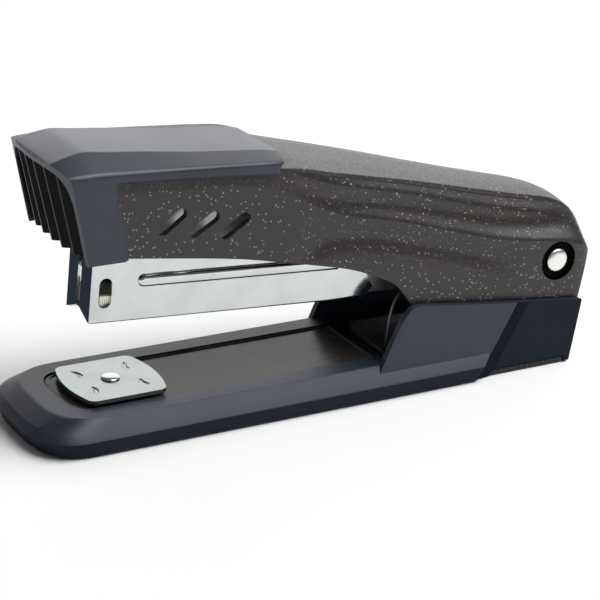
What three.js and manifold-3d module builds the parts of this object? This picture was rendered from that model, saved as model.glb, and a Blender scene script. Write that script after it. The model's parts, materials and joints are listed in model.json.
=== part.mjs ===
// A desk stapler, closed up on its springs as it stands on a table.
// Millimetres. +Z is up from the table, -Y is the nose, +Y the hinge, X runs across.
// The origin is at the middle of the footprint, on the table.
import * as THREE from "three";
import { mergeVertices } from "three/addons/utils/BufferGeometryUtils.js";
import Module from "manifold-3d";

const wasm = await Module();
wasm.setup();

// ---------------------------------------------------------------- driving dimensions

const GAP = 0.3; // between a piece and the neighbour it is cut around
const PIN = { y: 71, z: 30.2, r: 2.4 }; // the one hinge pin of arm, magazine and base
const MAGAZINE_PITCH = 3.8; // degrees, nose up, at rest
const ARM_STROKE = 5.0; // degrees that the arm turns on the magazine to drive a staple

// Base
const BASE_LEVELS = [
  // height, half width, y of the front
  { z: 0.5, half: 20.9, front: -81.2 },
  { z: 4.6, half: 21.8, front: -82.75 },
  { z: 6.8, half: 20.2, front: -81.4 },
  { z: 9.3, half: 18.3, front: -76.2 },
];
const NOSE_ROUND = 15; // length of the base's rounded front
const BASE_WALL = 2.2;
const DECK_UNDER = 6.3;
const TRAY = { half: 12.7, front: -70.9, rear: 17, floor: 8.1, mat: 0.6 };
const CAVITY = { half: 17.8, front: 17, rear: 74.6, floor: 5.0, under: 3.2 };
const CHEEK = { inner: 17.8, outer: 19.7, rear: 79.2, rearTop: 18.5, backWallTop: 12 };
const REAR_PANEL = 19.2; // half width behind the slanted facet
const SOLE = { thick: 1.8, inset: 2.1 };
const SCREW_Y = [36, 56]; // the two screws that hold the frame to the shell
const SCREW_HOLE = 1.8;
const EAR_ROUND = 6; // radius of every pressed ear around the pin

// Anvil
const ANVIL = { half: 11.8, front: -65.5, rear: -45, z: 9.7, thick: 1.1, bow: 2.2 };
const ANVIL_Y = (ANVIL.front + ANVIL.rear) / 2;
const GROOVE_Y = 7; // from the anvil's middle to each pair of grooves

// Stack of pieces along the pin, as distances from the middle plane
const BRACKET_HALF = 6.2;
const FRAME_HALF = 11.6;
const EAR = { inner: 12.4, outer: 13.6 };
const SPACER = { inner: 13.9, outer: 15.1, r: 5 };
const ARM_HALF = 17.4;
const ARM_WALL = 2.0;
const PIN_RECESS = { r: 5.6, floor: 16.3 };

// Magazine, in its own frame: y and z from the hinge pin, z square to its floor
const CHANNEL = { half: 7.3, wall: 0.8, floor: -9.65, top: 11.5, front: -135.3, rear: -53, frontTop: 14 };
const WINDOW = { y: -131.4, top: 0.6, bottom: -3.8, r: 1.75 };
const RIB = { front: -122.75, rear: -64.5, bottom: -0.7, top: 2.8, proud: 0.5 };
const STAPLE = { half: 6.35, wire: 0.5, crown: -2.2, foot: -8.5, front: -132.4, length: 27 };
const RAIL = { half: 5.6, wall: 0.7, top: -2.9, foot: -8.5, front: -131.8, rear: -62 };
const ROD = { r: 0.9, z: -6 };
const RIVET = { y: -66, z: 5.6, r: 1.3 };
const PUSHER = { length: 8.2, top: 2.5, tongue: 4 };
const BLADE = { y: -133.35, thick: 0.5, half: 6.1, foot: -3.6, top: 17, tab: -118 };
const DRIVER_RIVET = { y: -49, bladeY: -122.6, hole: 1.6 }; // bladeY is its place in the blade's frame

// Arm cover
const VENTS = [[[-50.9, 54.8], [-43.5, 60.1]], [[-42.3, 53.3], [-34.4, 58.1]], [[-33.8, 51.6], [-25.8, 56.6]]];
const VENT_R = 1.5;
const GRILLE = { half: 17.3, pitch: 5.8, rib: 1.4, depth: 1.8, back: 3.2, bottom: 50.5, top: 70.1 };

// ---------------------------------------------------------------- shape helpers

const rad = THREE.MathUtils.degToRad;

/** A closed geometry as a manifold solid. */
function solid(geometry) {
  const bare = new THREE.BufferGeometry();
  const flat = geometry.index ? geometry.toNonIndexed() : geometry;
  bare.setAttribute("position", flat.getAttribute("position"));
  const merged = mergeVertices(bare, 1e-4);
  return new wasm.Manifold(
    new wasm.Mesh({
      numProp: 3,
      vertProperties: new Float32Array(merged.attributes.position.array),
      triVerts: new Uint32Array(merged.index.array),
    }),
  );
}

/** A manifold solid as a three.js geometry. */
function geometryOf(manifold) {
  const mesh = manifold.getMesh();
  const geometry = new THREE.BufferGeometry();
  geometry.setAttribute("position", new THREE.BufferAttribute(new Float32Array(mesh.vertProperties), 3));
  geometry.setIndex(new THREE.BufferAttribute(new Uint32Array(mesh.triVerts), 1));
  return geometry;
}

const join = (first, ...rest) => rest.reduce((all, one) => all.add(one), first);
const cut = (first, ...rest) => rest.reduce((all, one) => all.subtract(one), first);

// Turns an extrusion, drawn in x and y and pushed along z, onto each axis.
const ONTO = {
  x: new THREE.Matrix4().set(0, 0, 1, 0, 1, 0, 0, 0, 0, 1, 0, 0, 0, 0, 0, 1),
  y: new THREE.Matrix4().set(1, 0, 0, 0, 0, 0, -1, 0, 0, 1, 0, 0, 0, 0, 0, 1),
  z: new THREE.Matrix4(),
};

/** Pushes a closed outline along an axis. Outlines are [y, z] for x, [x, z] for y and [x, y] for z. */
function prism(axis, outline, from, to) {
  const shape = new THREE.Shape(outline.map(([u, v]) => new THREE.Vector2(u, v)));
  const geometry = new THREE.ExtrudeGeometry(shape, { depth: to - from, bevelEnabled: false });
  geometry.translate(0, 0, axis === "y" ? -to : from);
  return solid(geometry.applyMatrix4(ONTO[axis]));
}

/** A block between two corners. */
function block([x0, y0, z0], [x1, y1, z1]) {
  const box = new THREE.BoxGeometry(x1 - x0, y1 - y0, z1 - z0);
  return solid(box.translate((x0 + x1) / 2, (y0 + y1) / 2, (z0 + z1) / 2));
}

/** A round bar along x through y, z, from one x to another. */
function barX(y, z, r, from, to, sides = 24) {
  const bar = new THREE.CylinderGeometry(r, r, to - from, sides).rotateZ(Math.PI / 2);
  return solid(bar.translate((from + to) / 2, y, z));
}

/** A round bar along y through x, z. */
function barY(x, z, r, from, to, sides = 12) {
  return solid(new THREE.CylinderGeometry(r, r, to - from, sides).translate(x, (from + to) / 2, z));
}

/** A turned piece about a vertical axis through x, y; its profile is [radius, height] from axis to axis. */
function turned(profile, x, y, sides = 24) {
  const points = profile.map(([r, z]) => new THREE.Vector2(r, z));
  return solid(new THREE.LatheGeometry(points, sides).rotateX(Math.PI / 2).translate(x, y, 0));
}

/** A drill down through y on the middle plane, from one height to another. */
const drill = (y, r, from, to, sides = 24) => turned([[0, from], [r, from], [r, to], [0, to]], 0, y, sides);

/** The same side outline on the right and on the left, between two distances from the middle plane. */
const bothSides = (outline, inner, outer) => [prism("x", outline, inner, outer), prism("x", outline, -outer, -inner)];

/** Skins a row of closed outlines of equal length, each placed at its own station along an axis. */
function skin(axis, stations) {
  const place = { x: (u, v, a) => [a, u, v], y: (u, v, a) => [u, a, v], z: (u, v, a) => [u, v, a] }[axis];
  const count = stations[0].outline.length;
  const vertices = stations.flatMap(({ at, outline }) => outline.flatMap(([u, v]) => place(u, v, at)));
  const faces = [];
  for (let s = 0; s + 1 < stations.length; s++)
    for (let i = 0; i < count; i++) {
      const [a, b] = [s * count + i, s * count + ((i + 1) % count)];
      faces.push(a, b, b + count, a, b + count, a + count);
    }
  const cap = (s, flip) => {
    const outline = stations[s].outline.map(([u, v]) => new THREE.Vector2(u, v));
    for (const [a, b, c] of THREE.ShapeUtils.triangulateShape(outline, []))
      faces.push(...(flip ? [a, c, b] : [a, b, c]).map((i) => i + s * count));
  };
  cap(0, true);
  cap(stations.length - 1, false);
  if (axis === "y") faces.reverse();
  const geometry = new THREE.BufferGeometry();
  geometry.setAttribute("position", new THREE.Float32BufferAttribute(vertices, 3));
  geometry.setIndex(faces);
  return solid(geometry);
}

/** A wire of round section along a smooth path. */
function wire(points, r, steps, sides = 6) {
  const path = new THREE.CatmullRomCurve3(points.map((p) => new THREE.Vector3(...p)), false, "centripetal");
  const ring = new THREE.Shape();
  for (let i = 0; i < sides; i++) {
    const angle = (2 * Math.PI * i) / sides;
    ring[i ? "lineTo" : "moveTo"](r * Math.cos(angle), r * Math.sin(angle));
  }
  return new THREE.ExtrudeGeometry(ring, { extrudePath: path, steps, bevelEnabled: false });
}

/** Points on an arc, angles in degrees. */
function arc(cu, cv, r, from, to, steps) {
  return Array.from({ length: steps + 1 }, (_, i) => {
    const angle = rad(from + ((to - from) * i) / steps);
    return [cu + r * Math.cos(angle), cv + r * Math.sin(angle)];
  });
}

/** Mirrors the right half of an outline, given from the bottom up, onto the left. */
const mirrored = (half) => [...half, ...half.map(([x, v]) => [-x, v]).reverse()].filter(
  ([x, v], i, all) => i === 0 || x !== all[i - 1][0] || v !== all[i - 1][1],
);

/** Linear interpolation in a table of [y, value] rows. */
function along(table, y) {
  const found = table.findIndex(([at]) => at >= y);
  const next = found < 0 ? table.length - 1 : Math.max(1, found);
  const [[y0, v0], [y1, v1]] = [table[next - 1], table[next]];
  return v0 + ((v1 - v0) * (y - y0)) / (y1 - y0);
}

/** Names a solid as one piece of the stapler. */
function piece(name, shape, [color, roughness, metalness]) {
  const geometry = shape.isBufferGeometry ? shape : geometryOf(shape);
  const mesh = new THREE.Mesh(geometry, new THREE.MeshStandardMaterial({ color, roughness, metalness }));
  mesh.name = name;
  return mesh;
}

const SLATE = ["#434a5a", 0.55, 0];
const PAINT = ["#3e3935", 0.4, 0.2];
const CHROME = ["#cdd4d2", 0.12, 1];
const ZINC = ["#a9adb0", 0.38, 1];
const NICKEL = ["#e4e4dc", 0.3, 1];
const GLOSS_TAUPE = ["#55524c", 0.18, 0];
const BLACK = ["#14161b", 0.5, 0];
const RUBBER = ["#17181a", 0.9, 0];
const SPRING_STEEL = ["#8d9196", 0.3, 1];

// ---------------------------------------------------------------- base

/** Plan outline with a rounded front: a superellipse of the third order. */
function plan(half, front, rear, length = NOSE_ROUND) {
  const order = 2 / 3;
  const right = [[half, rear]];
  for (let i = 0; i <= 6; i++) {
    const angle = (Math.PI / 12) * i;
    right.push([half * Math.cos(angle) ** order, front + length - length * Math.sin(angle) ** order]);
  }
  right[right.length - 1] = [0, front];
  const left = right.slice(0, -1).map(([x, y]) => [-x, y]).reverse();
  return [...right, ...left];
}

/** The leaning rear of the base. */
const rearAt = (z) => 76.3 + 0.16 * z;

/** A vertical plug in the shape of the base's plan. */
const plug = (outline, from, to) => prism("z", [...outline].reverse(), from, to);

/** The moulded bottom: a hollow deck, a tray in its top, and two cheeks beside the hinge. */
function baseShell() {
  const levels = BASE_LEVELS.map(({ z, half, front }) => ({ at: z, outline: plan(half, front, rearAt(z)).reverse() }));
  const cheekSide = [
    [12.5, 5], [14.5, 9.3], [17.6, 16.5], [20.6, 22.3], [23, 24.6], [26, 25.2],
    [50, 21.7], [CHEEK.rear, CHEEK.rearTop], [77.1, 5],
  ].reverse();
  const body = join(skin("z", levels), ...bothSides(cheekSide, CHEEK.inner, CHEEK.outer));
  const insets = bothSides([[44.5, -1], [90, -1], [90, 30], [61.5, 30]], REAR_PANEL, 30);
  const backWall = block([-CHEEK.inner - 1, CAVITY.rear, 4], [CHEEK.inner + 1, rearAt(4), CHEEK.backWallTop]);
  const underFront = skin("z", [0, DECK_UNDER].map((z) => ({
    at: z,
    outline: plan(18.3, -76.6 + z * 0.4, 14.5, 12).reverse(),
  })));
  const underRear = block([-17, 16.5, 0], [17, 73.5, CAVITY.under]);
  const soleSeat = plug(soleOutline(GAP), 0, SOLE.thick + GAP);
  const tray = plug(plan(TRAY.half, TRAY.front, TRAY.rear + 1, 8), TRAY.floor, 12);
  const cavity = block([-CAVITY.half, CAVITY.front, CAVITY.floor], [CAVITY.half, CAVITY.rear, 40]);
  const holes = [drill(ANVIL_Y, 2.4, 0, 12), ...SCREW_Y.map((y) => drill(y, SCREW_HOLE, 0, 6))];
  return cut(join(cut(body, cavity), backWall), tray, ...insets, underFront, underRear, soleSeat, ...holes);
}

/** The sole's outline, let out by a gap. */
const soleOutline = (gap) => {
  const { half, front } = BASE_LEVELS[0];
  return plan(half - SOLE.inset + gap, front + SOLE.inset - gap, rearAt(0) + 0.1 - SOLE.inset + gap);
};

/** The steel floor plate with the two ears that carry the pin. */
function baseFrame() {
  const [top, bottom] = [6.5, 5.3];
  const ear = [
    [24, bottom], [72, bottom], [72, 19], [76.5, 27.5],
    ...arc(PIN.y, PIN.z, EAR_ROUND, -15, 195, 10),
    [58, 12], [50, 8.5], [24, 8.5],
  ];
  const floor = block([-EAR.outer, 24, bottom], [EAR.outer, 72, top]);
  const holes = SCREW_Y.map((y) => drill(y, SCREW_HOLE, 0, 9));
  const plate = join(floor, ...bothSides(ear, EAR.inner, EAR.outer));
  return cut(plate, barX(PIN.y, PIN.z, PIN.r + 0.1, -20, 20), ...holes);
}

/** Plate with bowed ends and four shallow forming grooves. */
function anvilPlate() {
  const { half, front, rear, bow, z, thick } = ANVIL;
  const outline = [];
  for (let i = 0; i <= 6; i++) outline.push([half - (half / 3) * i, front - bow * (1 - (1 - i / 3) ** 2)]);
  for (let i = 0; i <= 6; i++) outline.push([-half + (half / 3) * i, rear + bow * (1 - (1 - i / 3) ** 2)]);
  const groove = [[3, -1.1], [8, 0.1], [8, 1.3], [3, 0.3]];
  const grooves = [-1, 1].flatMap((side) => [-1, 1].map((end) => {
    const slant = groove.map(([x, v]) => [side * x, ANVIL_Y + end * (GROOVE_Y + v)]);
    return prism("z", side * end < 0 ? slant.reverse() : slant, z + thick - 0.4, z + thick + 1);
  }));
  return cut(prism("z", outline, z, z + thick), ...grooves, drill(ANVIL_Y, 1.9, 0, 14));
}

/** Rivet that the anvil turns on, flared under the deck. */
function anvilRivet() {
  const top = ANVIL.z + ANVIL.thick;
  const flare = [[0, 4.2], [3.2, 4.2], [3.2, 4.9], [1.75, 4.9]];
  const head = [[1.75, top + 0.1], [2.5, top + 0.1], [2.3, top + 0.5], [1.4, top + 0.75], [0, top + 0.8]];
  return turned([...flare, ...head], 0, ANVIL_Y);
}

/** Bowed leaf that pulls the anvil's rivet down under the deck. */
function anvilSpring() {
  const leaf = [[-9, 5.95], [-4, 5.15], [4, 5.15], [9, 5.95], [9, 6.25], [4, 5.55], [-4, 5.55], [-9, 6.25]];
  const strip = prism("x", leaf.map(([y, z]) => [y + ANVIL_Y, z]), -4, 4);
  return cut(strip, drill(ANVIL_Y, 2.1, 0, 9));
}

/** Pan-head screw up through the shell and the frame. */
function baseScrew(y) {
  return turned([[0, 2.15], [2.8, 2.15], [2.6, 3.1], [1.5, 3.1], [1.5, 8], [0, 8.4]], 0, y, 16);
}

/** Shouldered pin with a shallow domed head at each end. */
function pivotPin() {
  const [neck, end, head] = [PIN_RECESS.floor + 0.3, ARM_HALF + 0.1, 3.3];
  const half = [[0, -end], [head - 1, -end], [head, -end + 0.35], [head, -neck], [PIN.r, -neck]];
  const profile = [...half, ...half.map(([r, x]) => [r, -x]).reverse()];
  const points = profile.map(([r, x]) => new THREE.Vector2(r, x));
  const pin = new THREE.LatheGeometry(points, 24).rotateZ(-Math.PI / 2);
  return pin.translate(0, PIN.y, PIN.z);
}

/** Washer on the pin between a frame ear and the arm. */
function pivotSpacer(side) {
  const [from, to] = side > 0 ? [SPACER.inner, SPACER.outer] : [-SPACER.outer, -SPACER.inner];
  return cut(barX(PIN.y, PIN.z, SPACER.r, from, to), barX(PIN.y, PIN.z, PIN.r + GAP, from - 1, to + 1));
}

/** Coil round the pin with two straight legs. */
function torsionSpring(side, legs) {
  const [turns, mean, start, rise] = [3, 4, 7.4, 0.95];
  const coil = [];
  for (let i = 0; i <= turns * 10; i++) {
    const angle = rad(-100 - 36 * i);
    coil.push([side * (start + (rise * i) / 10), PIN.y + mean * Math.cos(angle), PIN.z + mean * Math.sin(angle)]);
  }
  return wire([...legs.first, ...coil, ...legs.last], 0.4, 90);
}

function baseGroup() {
  const group = new THREE.Group();
  const seat = TRAY.floor + 0.1;
  const mat = plug(plan(TRAY.half - GAP, TRAY.front + GAP, TRAY.rear - 0.4, 8), seat, seat + TRAY.mat);
  group.add(
    piece("base_shell", baseShell(), SLATE),
    piece("base_frame", baseFrame(), ZINC),
    piece("tray_mat", cut(mat, drill(ANVIL_Y, 3, 0, 12)), GLOSS_TAUPE),
    piece("sole_pad", plug(soleOutline(0), 0, SOLE.thick), RUBBER),
    piece("anvil_plate", anvilPlate(), CHROME),
    piece("anvil_rivet", anvilRivet(), NICKEL),
    piece("anvil_spring", anvilSpring(), SPRING_STEEL),
    piece("base_screw_front", baseScrew(SCREW_Y[0]), ZINC),
    piece("base_screw_rear", baseScrew(SCREW_Y[1]), ZINC),
    piece("pivot_pin", pivotPin(), NICKEL),
    piece("pivot_spacer_right", pivotSpacer(1), BLACK),
    piece("pivot_spacer_left", pivotSpacer(-1), BLACK),
    piece("return_spring", torsionSpring(1, {
      first: [[7.4, 30, 8.2], [7.4, 46, 14], [7.4, 62, 23.5]],
      last: [[10, 62, 25.5], [9.6, 46, 25.8], [9, 30, 26.3], [8.8, 25, 24], [8.8, 22.8, 18], [8.8, 21.5, 6]],
    }), SPRING_STEEL),
  );
  return group;
}

// ---------------------------------------------------------------- magazine, in its own frame

/** The bright outer channel with its window, raised rib and folded front. */
function magazineChannel() {
  const { half, wall, floor, top, front, rear, frontTop } = CHANNEL;
  const side = [
    [front, floor], [rear - 3, floor], [rear, floor + 3.2], [rear - 3, -1.8], [rear - 7.6, -1.2], [rear - 8.6, top],
    [front + 2.4, top], [front + 2.4, frontTop], [front, frontTop],
  ];
  const outside = prism("x", side, -half, half);
  const inside = block([-half + wall, front + wall, floor + wall], [half - wall, rear + 5, frontTop + 5]);
  const exit = block([-6.4, front + wall, floor - 1], [6.4, -132.2, floor + 2]);
  const frontSlot = block([-1, front - 1, floor - 1], [1, front + wall + 0.1, frontTop + 1]);
  const below = [
    [-half, floor - 1], [half, floor - 1], [half, floor], [1, floor + 2.6], [-1, floor + 2.6], [-half, floor],
  ];
  const heel = prism("y", below, front - 1, front + wall + 0.05);
  const window = [
    ...arc(WINDOW.y, WINDOW.top, WINDOW.r, 0, 180, 6), ...arc(WINDOW.y, WINDOW.bottom, WINDOW.r, 180, 360, 6),
  ];
  const windows = prism("x", window, -half - 1, half + 1);
  const ribRound = (RIB.top - RIB.bottom) / 2;
  const rib = [
    ...arc(RIB.front + ribRound, RIB.bottom + ribRound, ribRound, 90, 270, 6), [RIB.rear, RIB.bottom], [RIB.rear, RIB.top],
  ];
  const body = join(outside, ...bothSides(rib, half - 0.1, half + RIB.proud));
  return cut(body, inside, exit, frontSlot, heel, windows, rivetBore());
}

/** Inverted channel that the staples straddle, closed at both ends around the rod. */
function stapleRail() {
  const { half, wall, top, foot, front, rear } = RAIL;
  const outside = block([-half, front, foot], [half, rear, top]);
  const inside = block([-half + wall, front + wall, foot - 1], [half - wall, rear - wall, top - wall]);
  const slot = block([-1.3, -106, top - 2], [1.3, -68, top + 1]);
  return cut(outside, inside, slot, barY(0, ROD.z, ROD.r + 0.2, front - 1, rear + 1));
}

/** A full strip of staples, as one block. */
function stapleStrip() {
  const { half, wire: thick, crown, foot, front, length } = STAPLE;
  const inside = block([-half + thick, front - 1, foot - 1], [half - thick, front + length + 1, crown - thick]);
  return cut(block([-half, front, foot], [half, front + length, crown]), inside);
}

const PUSHER_FRONT = STAPLE.front + STAPLE.length + 0.2;

/** Plastic follower that a tongue through the rail's slot ties to the rod. */
function pusherBlock() {
  const [front, rear] = [PUSHER_FRONT, PUSHER_FRONT + PUSHER.length];
  const head = prism("x", [
    [front, -2.6], [rear, -2.6], [rear, 0.6], [rear - 2, PUSHER.top], [front + 1, PUSHER.top], [front, 1.5],
  ], -6.1, 6.1);
  const [t0, t1] = [front + 2, front + 2 + PUSHER.tongue];
  const neck = block([-1, t0, -4.6], [1, t1, -2.5]);
  const foot = block([-2.4, t0, -8.3], [2.4, t1, -3.9]);
  return cut(join(head, neck, foot), barY(0, ROD.z, ROD.r + 0.2, t0 - 1, t1 + 1));
}

/** Coil on the rod between the pusher's foot and the rail's rear end. */
function pusherSpring() {
  const [turns, mean, from] = [11, 1.7, PUSHER_FRONT + 2 + PUSHER.tongue + 0.6];
  const to = RAIL.rear - RAIL.wall - 0.7;
  const points = [];
  for (let i = 0; i <= turns * 8; i++) {
    const angle = (Math.PI / 4) * i;
    points.push([mean * Math.cos(angle), from + ((to - from) * i) / (turns * 8), ROD.z + mean * Math.sin(angle)]);
  }
  return wire(points, 0.3, turns * 9, 5);
}

/** Steel tail that carries the channel from the hinge pin. */
function magazineBracket() {
  const side = [
    [-61.3, -8.4], [-20, -8.4], [-4, -6.4], ...arc(0, 0, EAR_ROUND, -70, 100, 8), [-20, 4.6], [-50, 8.6], [-71, 8.6],
    [-71, -2.4], [-61.3, -2.4],
  ];
  const [wall, floor] = [1.1, -7.3];
  const inside = block([-BRACKET_HALF + wall, -80, floor], [BRACKET_HALF - wall, 20, 20]);
  return cut(prism("x", side, -BRACKET_HALF, BRACKET_HALF), inside, barX(0, 0, PIN.r + GAP, -20, 20), rivetBore());
}

const rivetBore = () => barX(RIVET.y, RIVET.z, RIVET.r + GAP, -20, 20, 16);

/** Cross rivet with a low head on each side. */
function crossRivet(y, z, shaft, half) {
  return join(
    barX(y, z, shaft, -half, half, 16),
    barX(y, z, shaft + 0.9, half - 0.7, half, 16),
    barX(y, z, shaft + 0.9, -half, -half + 0.7, 16),
  );
}

function magazineGroup() {
  const group = new THREE.Group();
  group.position.set(0, PIN.y, PIN.z);
  group.rotation.x = rad(-MAGAZINE_PITCH);
  group.add(
    piece("magazine_channel", magazineChannel(), CHROME),
    piece("staple_rail", stapleRail(), ZINC),
    piece("staple_strip", stapleStrip(), NICKEL),
    piece("pusher_block", pusherBlock(), BLACK),
    piece("pusher_rod", barY(0, ROD.z, ROD.r, RAIL.front + 0.1, RAIL.rear - 0.1), ZINC),
    piece("pusher_spring", pusherSpring(), SPRING_STEEL),
    piece("magazine_bracket", magazineBracket(), ZINC),
    piece("magazine_rivet", crossRivet(RIVET.y, RIVET.z, RIVET.r, CHANNEL.half + 0.9), NICKEL),
  );
  return group;
}

// ---------------------------------------------------------------- arm

// Rows of [y, value] along the arm
// Height of the top
const ARM_TOP = [
  [-66, 69.8], [-16, 67.4], [0, 64], [12, 61.2], [24, 58.3], [36, 55.2], [50, 51.6], [62, 48.7],
  [72, 46.2], [79, 42.4], [82.75, 37],
];
// Half width of the top
const ARM_EDGE = [
  [-66, 17.3], [-16, 17.3], [0, 16.6], [12, 15.2], [24, 13.8], [36, 12.6], [50, 11.6], [62, 10.8],
  [72, 9.8], [79, 9], [82.75, 8],
];
// Height where the side starts to lean in
const ARM_HIP = [
  [-66, 65], [-16, 63], [0, 54], [12, 49], [24, 45], [36, 41.5], [50, 38.5], [62, 37], [72, 36.5],
  [79, 34], [82.75, 31],
];
// Lower edge
const ARM_FOOT = [
  [-66, 50.7], [-28.6, 45.2], [-11.3, 41.3], [3.7, 37.7], [13, 34], [18, 31.4], [21, 28.4], [23, 25.8],
  [26, 22], [32, 19.6], [60, 16.5], [72, 16.5], [82.75, 19],
];
const ARM_WIDTH = [[-66, ARM_HALF], [76, ARM_HALF], [80, 17], [82.75, 16.2]];
const ARM_CROWN = 0.9;

/** The arm's section at y, drawn in by a wall and reaching down to foot. */
function armSection(y, wall, foot) {
  const [top, edge, hip, half] = [ARM_TOP, ARM_EDGE, ARM_HIP, ARM_WIDTH].map((table) => along(table, y));
  const shoulder = Math.min(edge - wall * 0.8, half - wall - 0.1);
  return mirrored([
    [half - wall, foot], [half - wall, hip], [shoulder, top - 0.9 - wall], [shoulder - 1.2, top - wall],
    [edge * 0.4, top + ARM_CROWN - wall],
  ]);
}

/** A slot with round ends between two extreme points, as [y, z]. */
function obround([a, b], r) {
  const angle = THREE.MathUtils.radToDeg(Math.atan2(b[1] - a[1], b[0] - a[0]));
  const [c, s] = [Math.cos(rad(angle)) * r, Math.sin(rad(angle)) * r];
  const far = arc(b[0] - c, b[1] - s, r, angle - 90, angle + 90, 6);
  return [...far, ...arc(a[0] + c, a[1] + s, r, angle + 90, angle + 270, 6)];
}

/** The painted cover: a long shell, open below, in front and low down behind. */
function armCover() {
  const stations = [-66, -40, -16, 0, 12, 24, 36, 50, 62, 72, 79, 82.75];
  const outside = skin("y", stations.map((y) => ({ at: y, outline: armSection(y, 0, 10) })));
  const inner = [-70, ...stations.slice(1, -1), 81.2];
  const inside = skin("y", inner.map((y) => ({ at: y, outline: armSection(Math.max(y, stations[0]), ARM_WALL, 5) })));
  const below = [...ARM_FOOT.map(([y, z]) => [y, z]), [90, 19], [90, 0], [-70, 0], [-70, 51.3]].reverse();
  const backSlant = [[78.6, 15], [82.9, 30], [90, 30], [90, 15]].reverse();
  const backDoor = block([-14.8, 76, 0], [14.8, 90, 36]);
  const vents = VENTS.map((ends) => prism("x", obround(ends, VENT_R), -30, 30));
  const recess = (from, to) => barX(PIN.y, PIN.z, PIN_RECESS.r, from, to);
  const ends = [recess(PIN_RECESS.floor, 30), recess(-30, -PIN_RECESS.floor), barX(PIN.y, PIN.z, PIN.r + GAP, -30, 30)];
  return cut(outside, inside, prism("x", below, -30, 30), prism("x", backSlant, -30, 30), backDoor, ...vents, ...ends);
}

/** Inner steel channel of the arm, open below. */
function armFrame() {
  const top = [[-54, 64.2], [-16, 62.2], [33, 48.5], [62, 38.8]];
  const side = [
    ...[...top].reverse(), [-54, 53.5], [-16, 47.5], [10, 42], [40, 33.5], [64, 25.4],
    ...arc(PIN.y, PIN.z, EAR_ROUND, 220, 430, 10),
  ];
  const outside = prism("x", side, -FRAME_HALF, FRAME_HALF);
  const inside = [...[...top].reverse().map(([y, z]) => [y, z - 1]), [-60, 63.2], [-60, 10], [90, 10], [90, 37.8]];
  const bores = [barX(PIN.y, PIN.z, PIN.r + GAP, -30, 30), driverHole(DRIVER_RIVET.y)];
  return cut(outside, prism("x", inside, -FRAME_HALF + 1, FRAME_HALF - 1), ...bores);
}

/** The driver rivet's hole, at that rivet's place along a piece. */
const driverHole = (y) => drill(y, DRIVER_RIVET.hole, 0, 80, 16);

// The cap's sections, as y, underside, lip top, panel height, half width, panel half width
const CAP_STATIONS = [
  [-77, 70.6, 71.2, 72.2, 10.5, 6.5],
  [-75.2, 70.5, 71.5, 73.2, 15.2, 8.5],
  [-72, 70.3, 72, 74.6, 18, 9.8],
  [-68, 70.2, 72.1, 75.8, 18.7, 10.4],
  [-62, 69.3, 71.9, 75.2, 18.7, 10.5],
  [-20, 67.2, 69.9, 70.4, 18.7, 10.5],
  [-16.6, 67, 69.2, 69.6, 18.4, 10.2],
  [-15.2, 67, 68.6, 68.9, 17.6, 9.6],
];

/** Moulded cap: top, side lips, and a leg down each side of the nose. */
function noseCap() {
  const top = skin("y", CAP_STATIONS.map(([y, low, lip, panel, half, flat]) => ({
    at: y, outline: mirrored([[half, low], [half, lip], [flat, panel]]),
  })));
  const leg = [[-69.9, 49.5], [-60.2, 49.5], [-62.6, 62.5], [-63.9, 72], [-73.4, 72], [-72.6, 66]];
  const legs = [prism("x", leg, ARM_HALF + GAP, 18.7), prism("x", leg, -18.7, -ARM_HALF - GAP)];
  const room = skin("y", [-66.4, -16, -14].map((y) => ({
    at: y, outline: mirrored([[ARM_HALF + GAP, 60], [ARM_HALF + GAP, along(ARM_TOP, Math.max(y, -66)) + ARM_CROWN + 0.35]]),
  })));
  return cut(join(top, ...legs), room);
}

/** Black insert under the cap's front edge: a leaning, bowed comb of upright ribs. */
function noseGrille() {
  const { half, pitch, rib, depth, back, bottom, top } = GRILLE;
  const level = (z) => {
    const t = (z - bottom) / (top - bottom);
    const [edge, bow] = [-70.2 - 4.1 * t, 1.6 + 0.5 * t];
    const face = (x) => edge - bow * (1 - (x / half) ** 2);
    const front = [[-half, face(-half)], [-half + rib, face(-half + rib)]];
    for (let i = -3; i <= 2; i++) {
      const [left, right] = [i * pitch + rib / 2, (i + 1) * pitch - rib / 2];
      const [from, to] = [Math.max(left, -half + rib), Math.min(right, half - rib)];
      front.push([from, face(from)], [from, face(from) + depth], [to, face(to) + depth], [to, face(to)]);
    }
    const outline = [...front, [half, face(half)], [half, edge + back], [-half, edge + back]];
    return outline.filter(([x, y], i) => i === 0 || Math.hypot(x - outline[i - 1][0], y - outline[i - 1][1]) > 1e-6);
  };
  return skin("z", [bottom, top].map((z) => ({ at: z, outline: level(z) })));
}

/** L-shaped driver blade; its frame lies on the magazine's at the middle of the stroke. */
function driverBlade() {
  const { y, thick, half, foot, top, tab } = BLADE;
  const upright = block([-half, y - thick / 2, foot], [half, y + thick / 2, top]);
  const shelf = block([-5, y, top - thick], [5, tab, top]);
  return cut(join(upright, shelf), driverHole(DRIVER_RIVET.bladeY));
}

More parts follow.
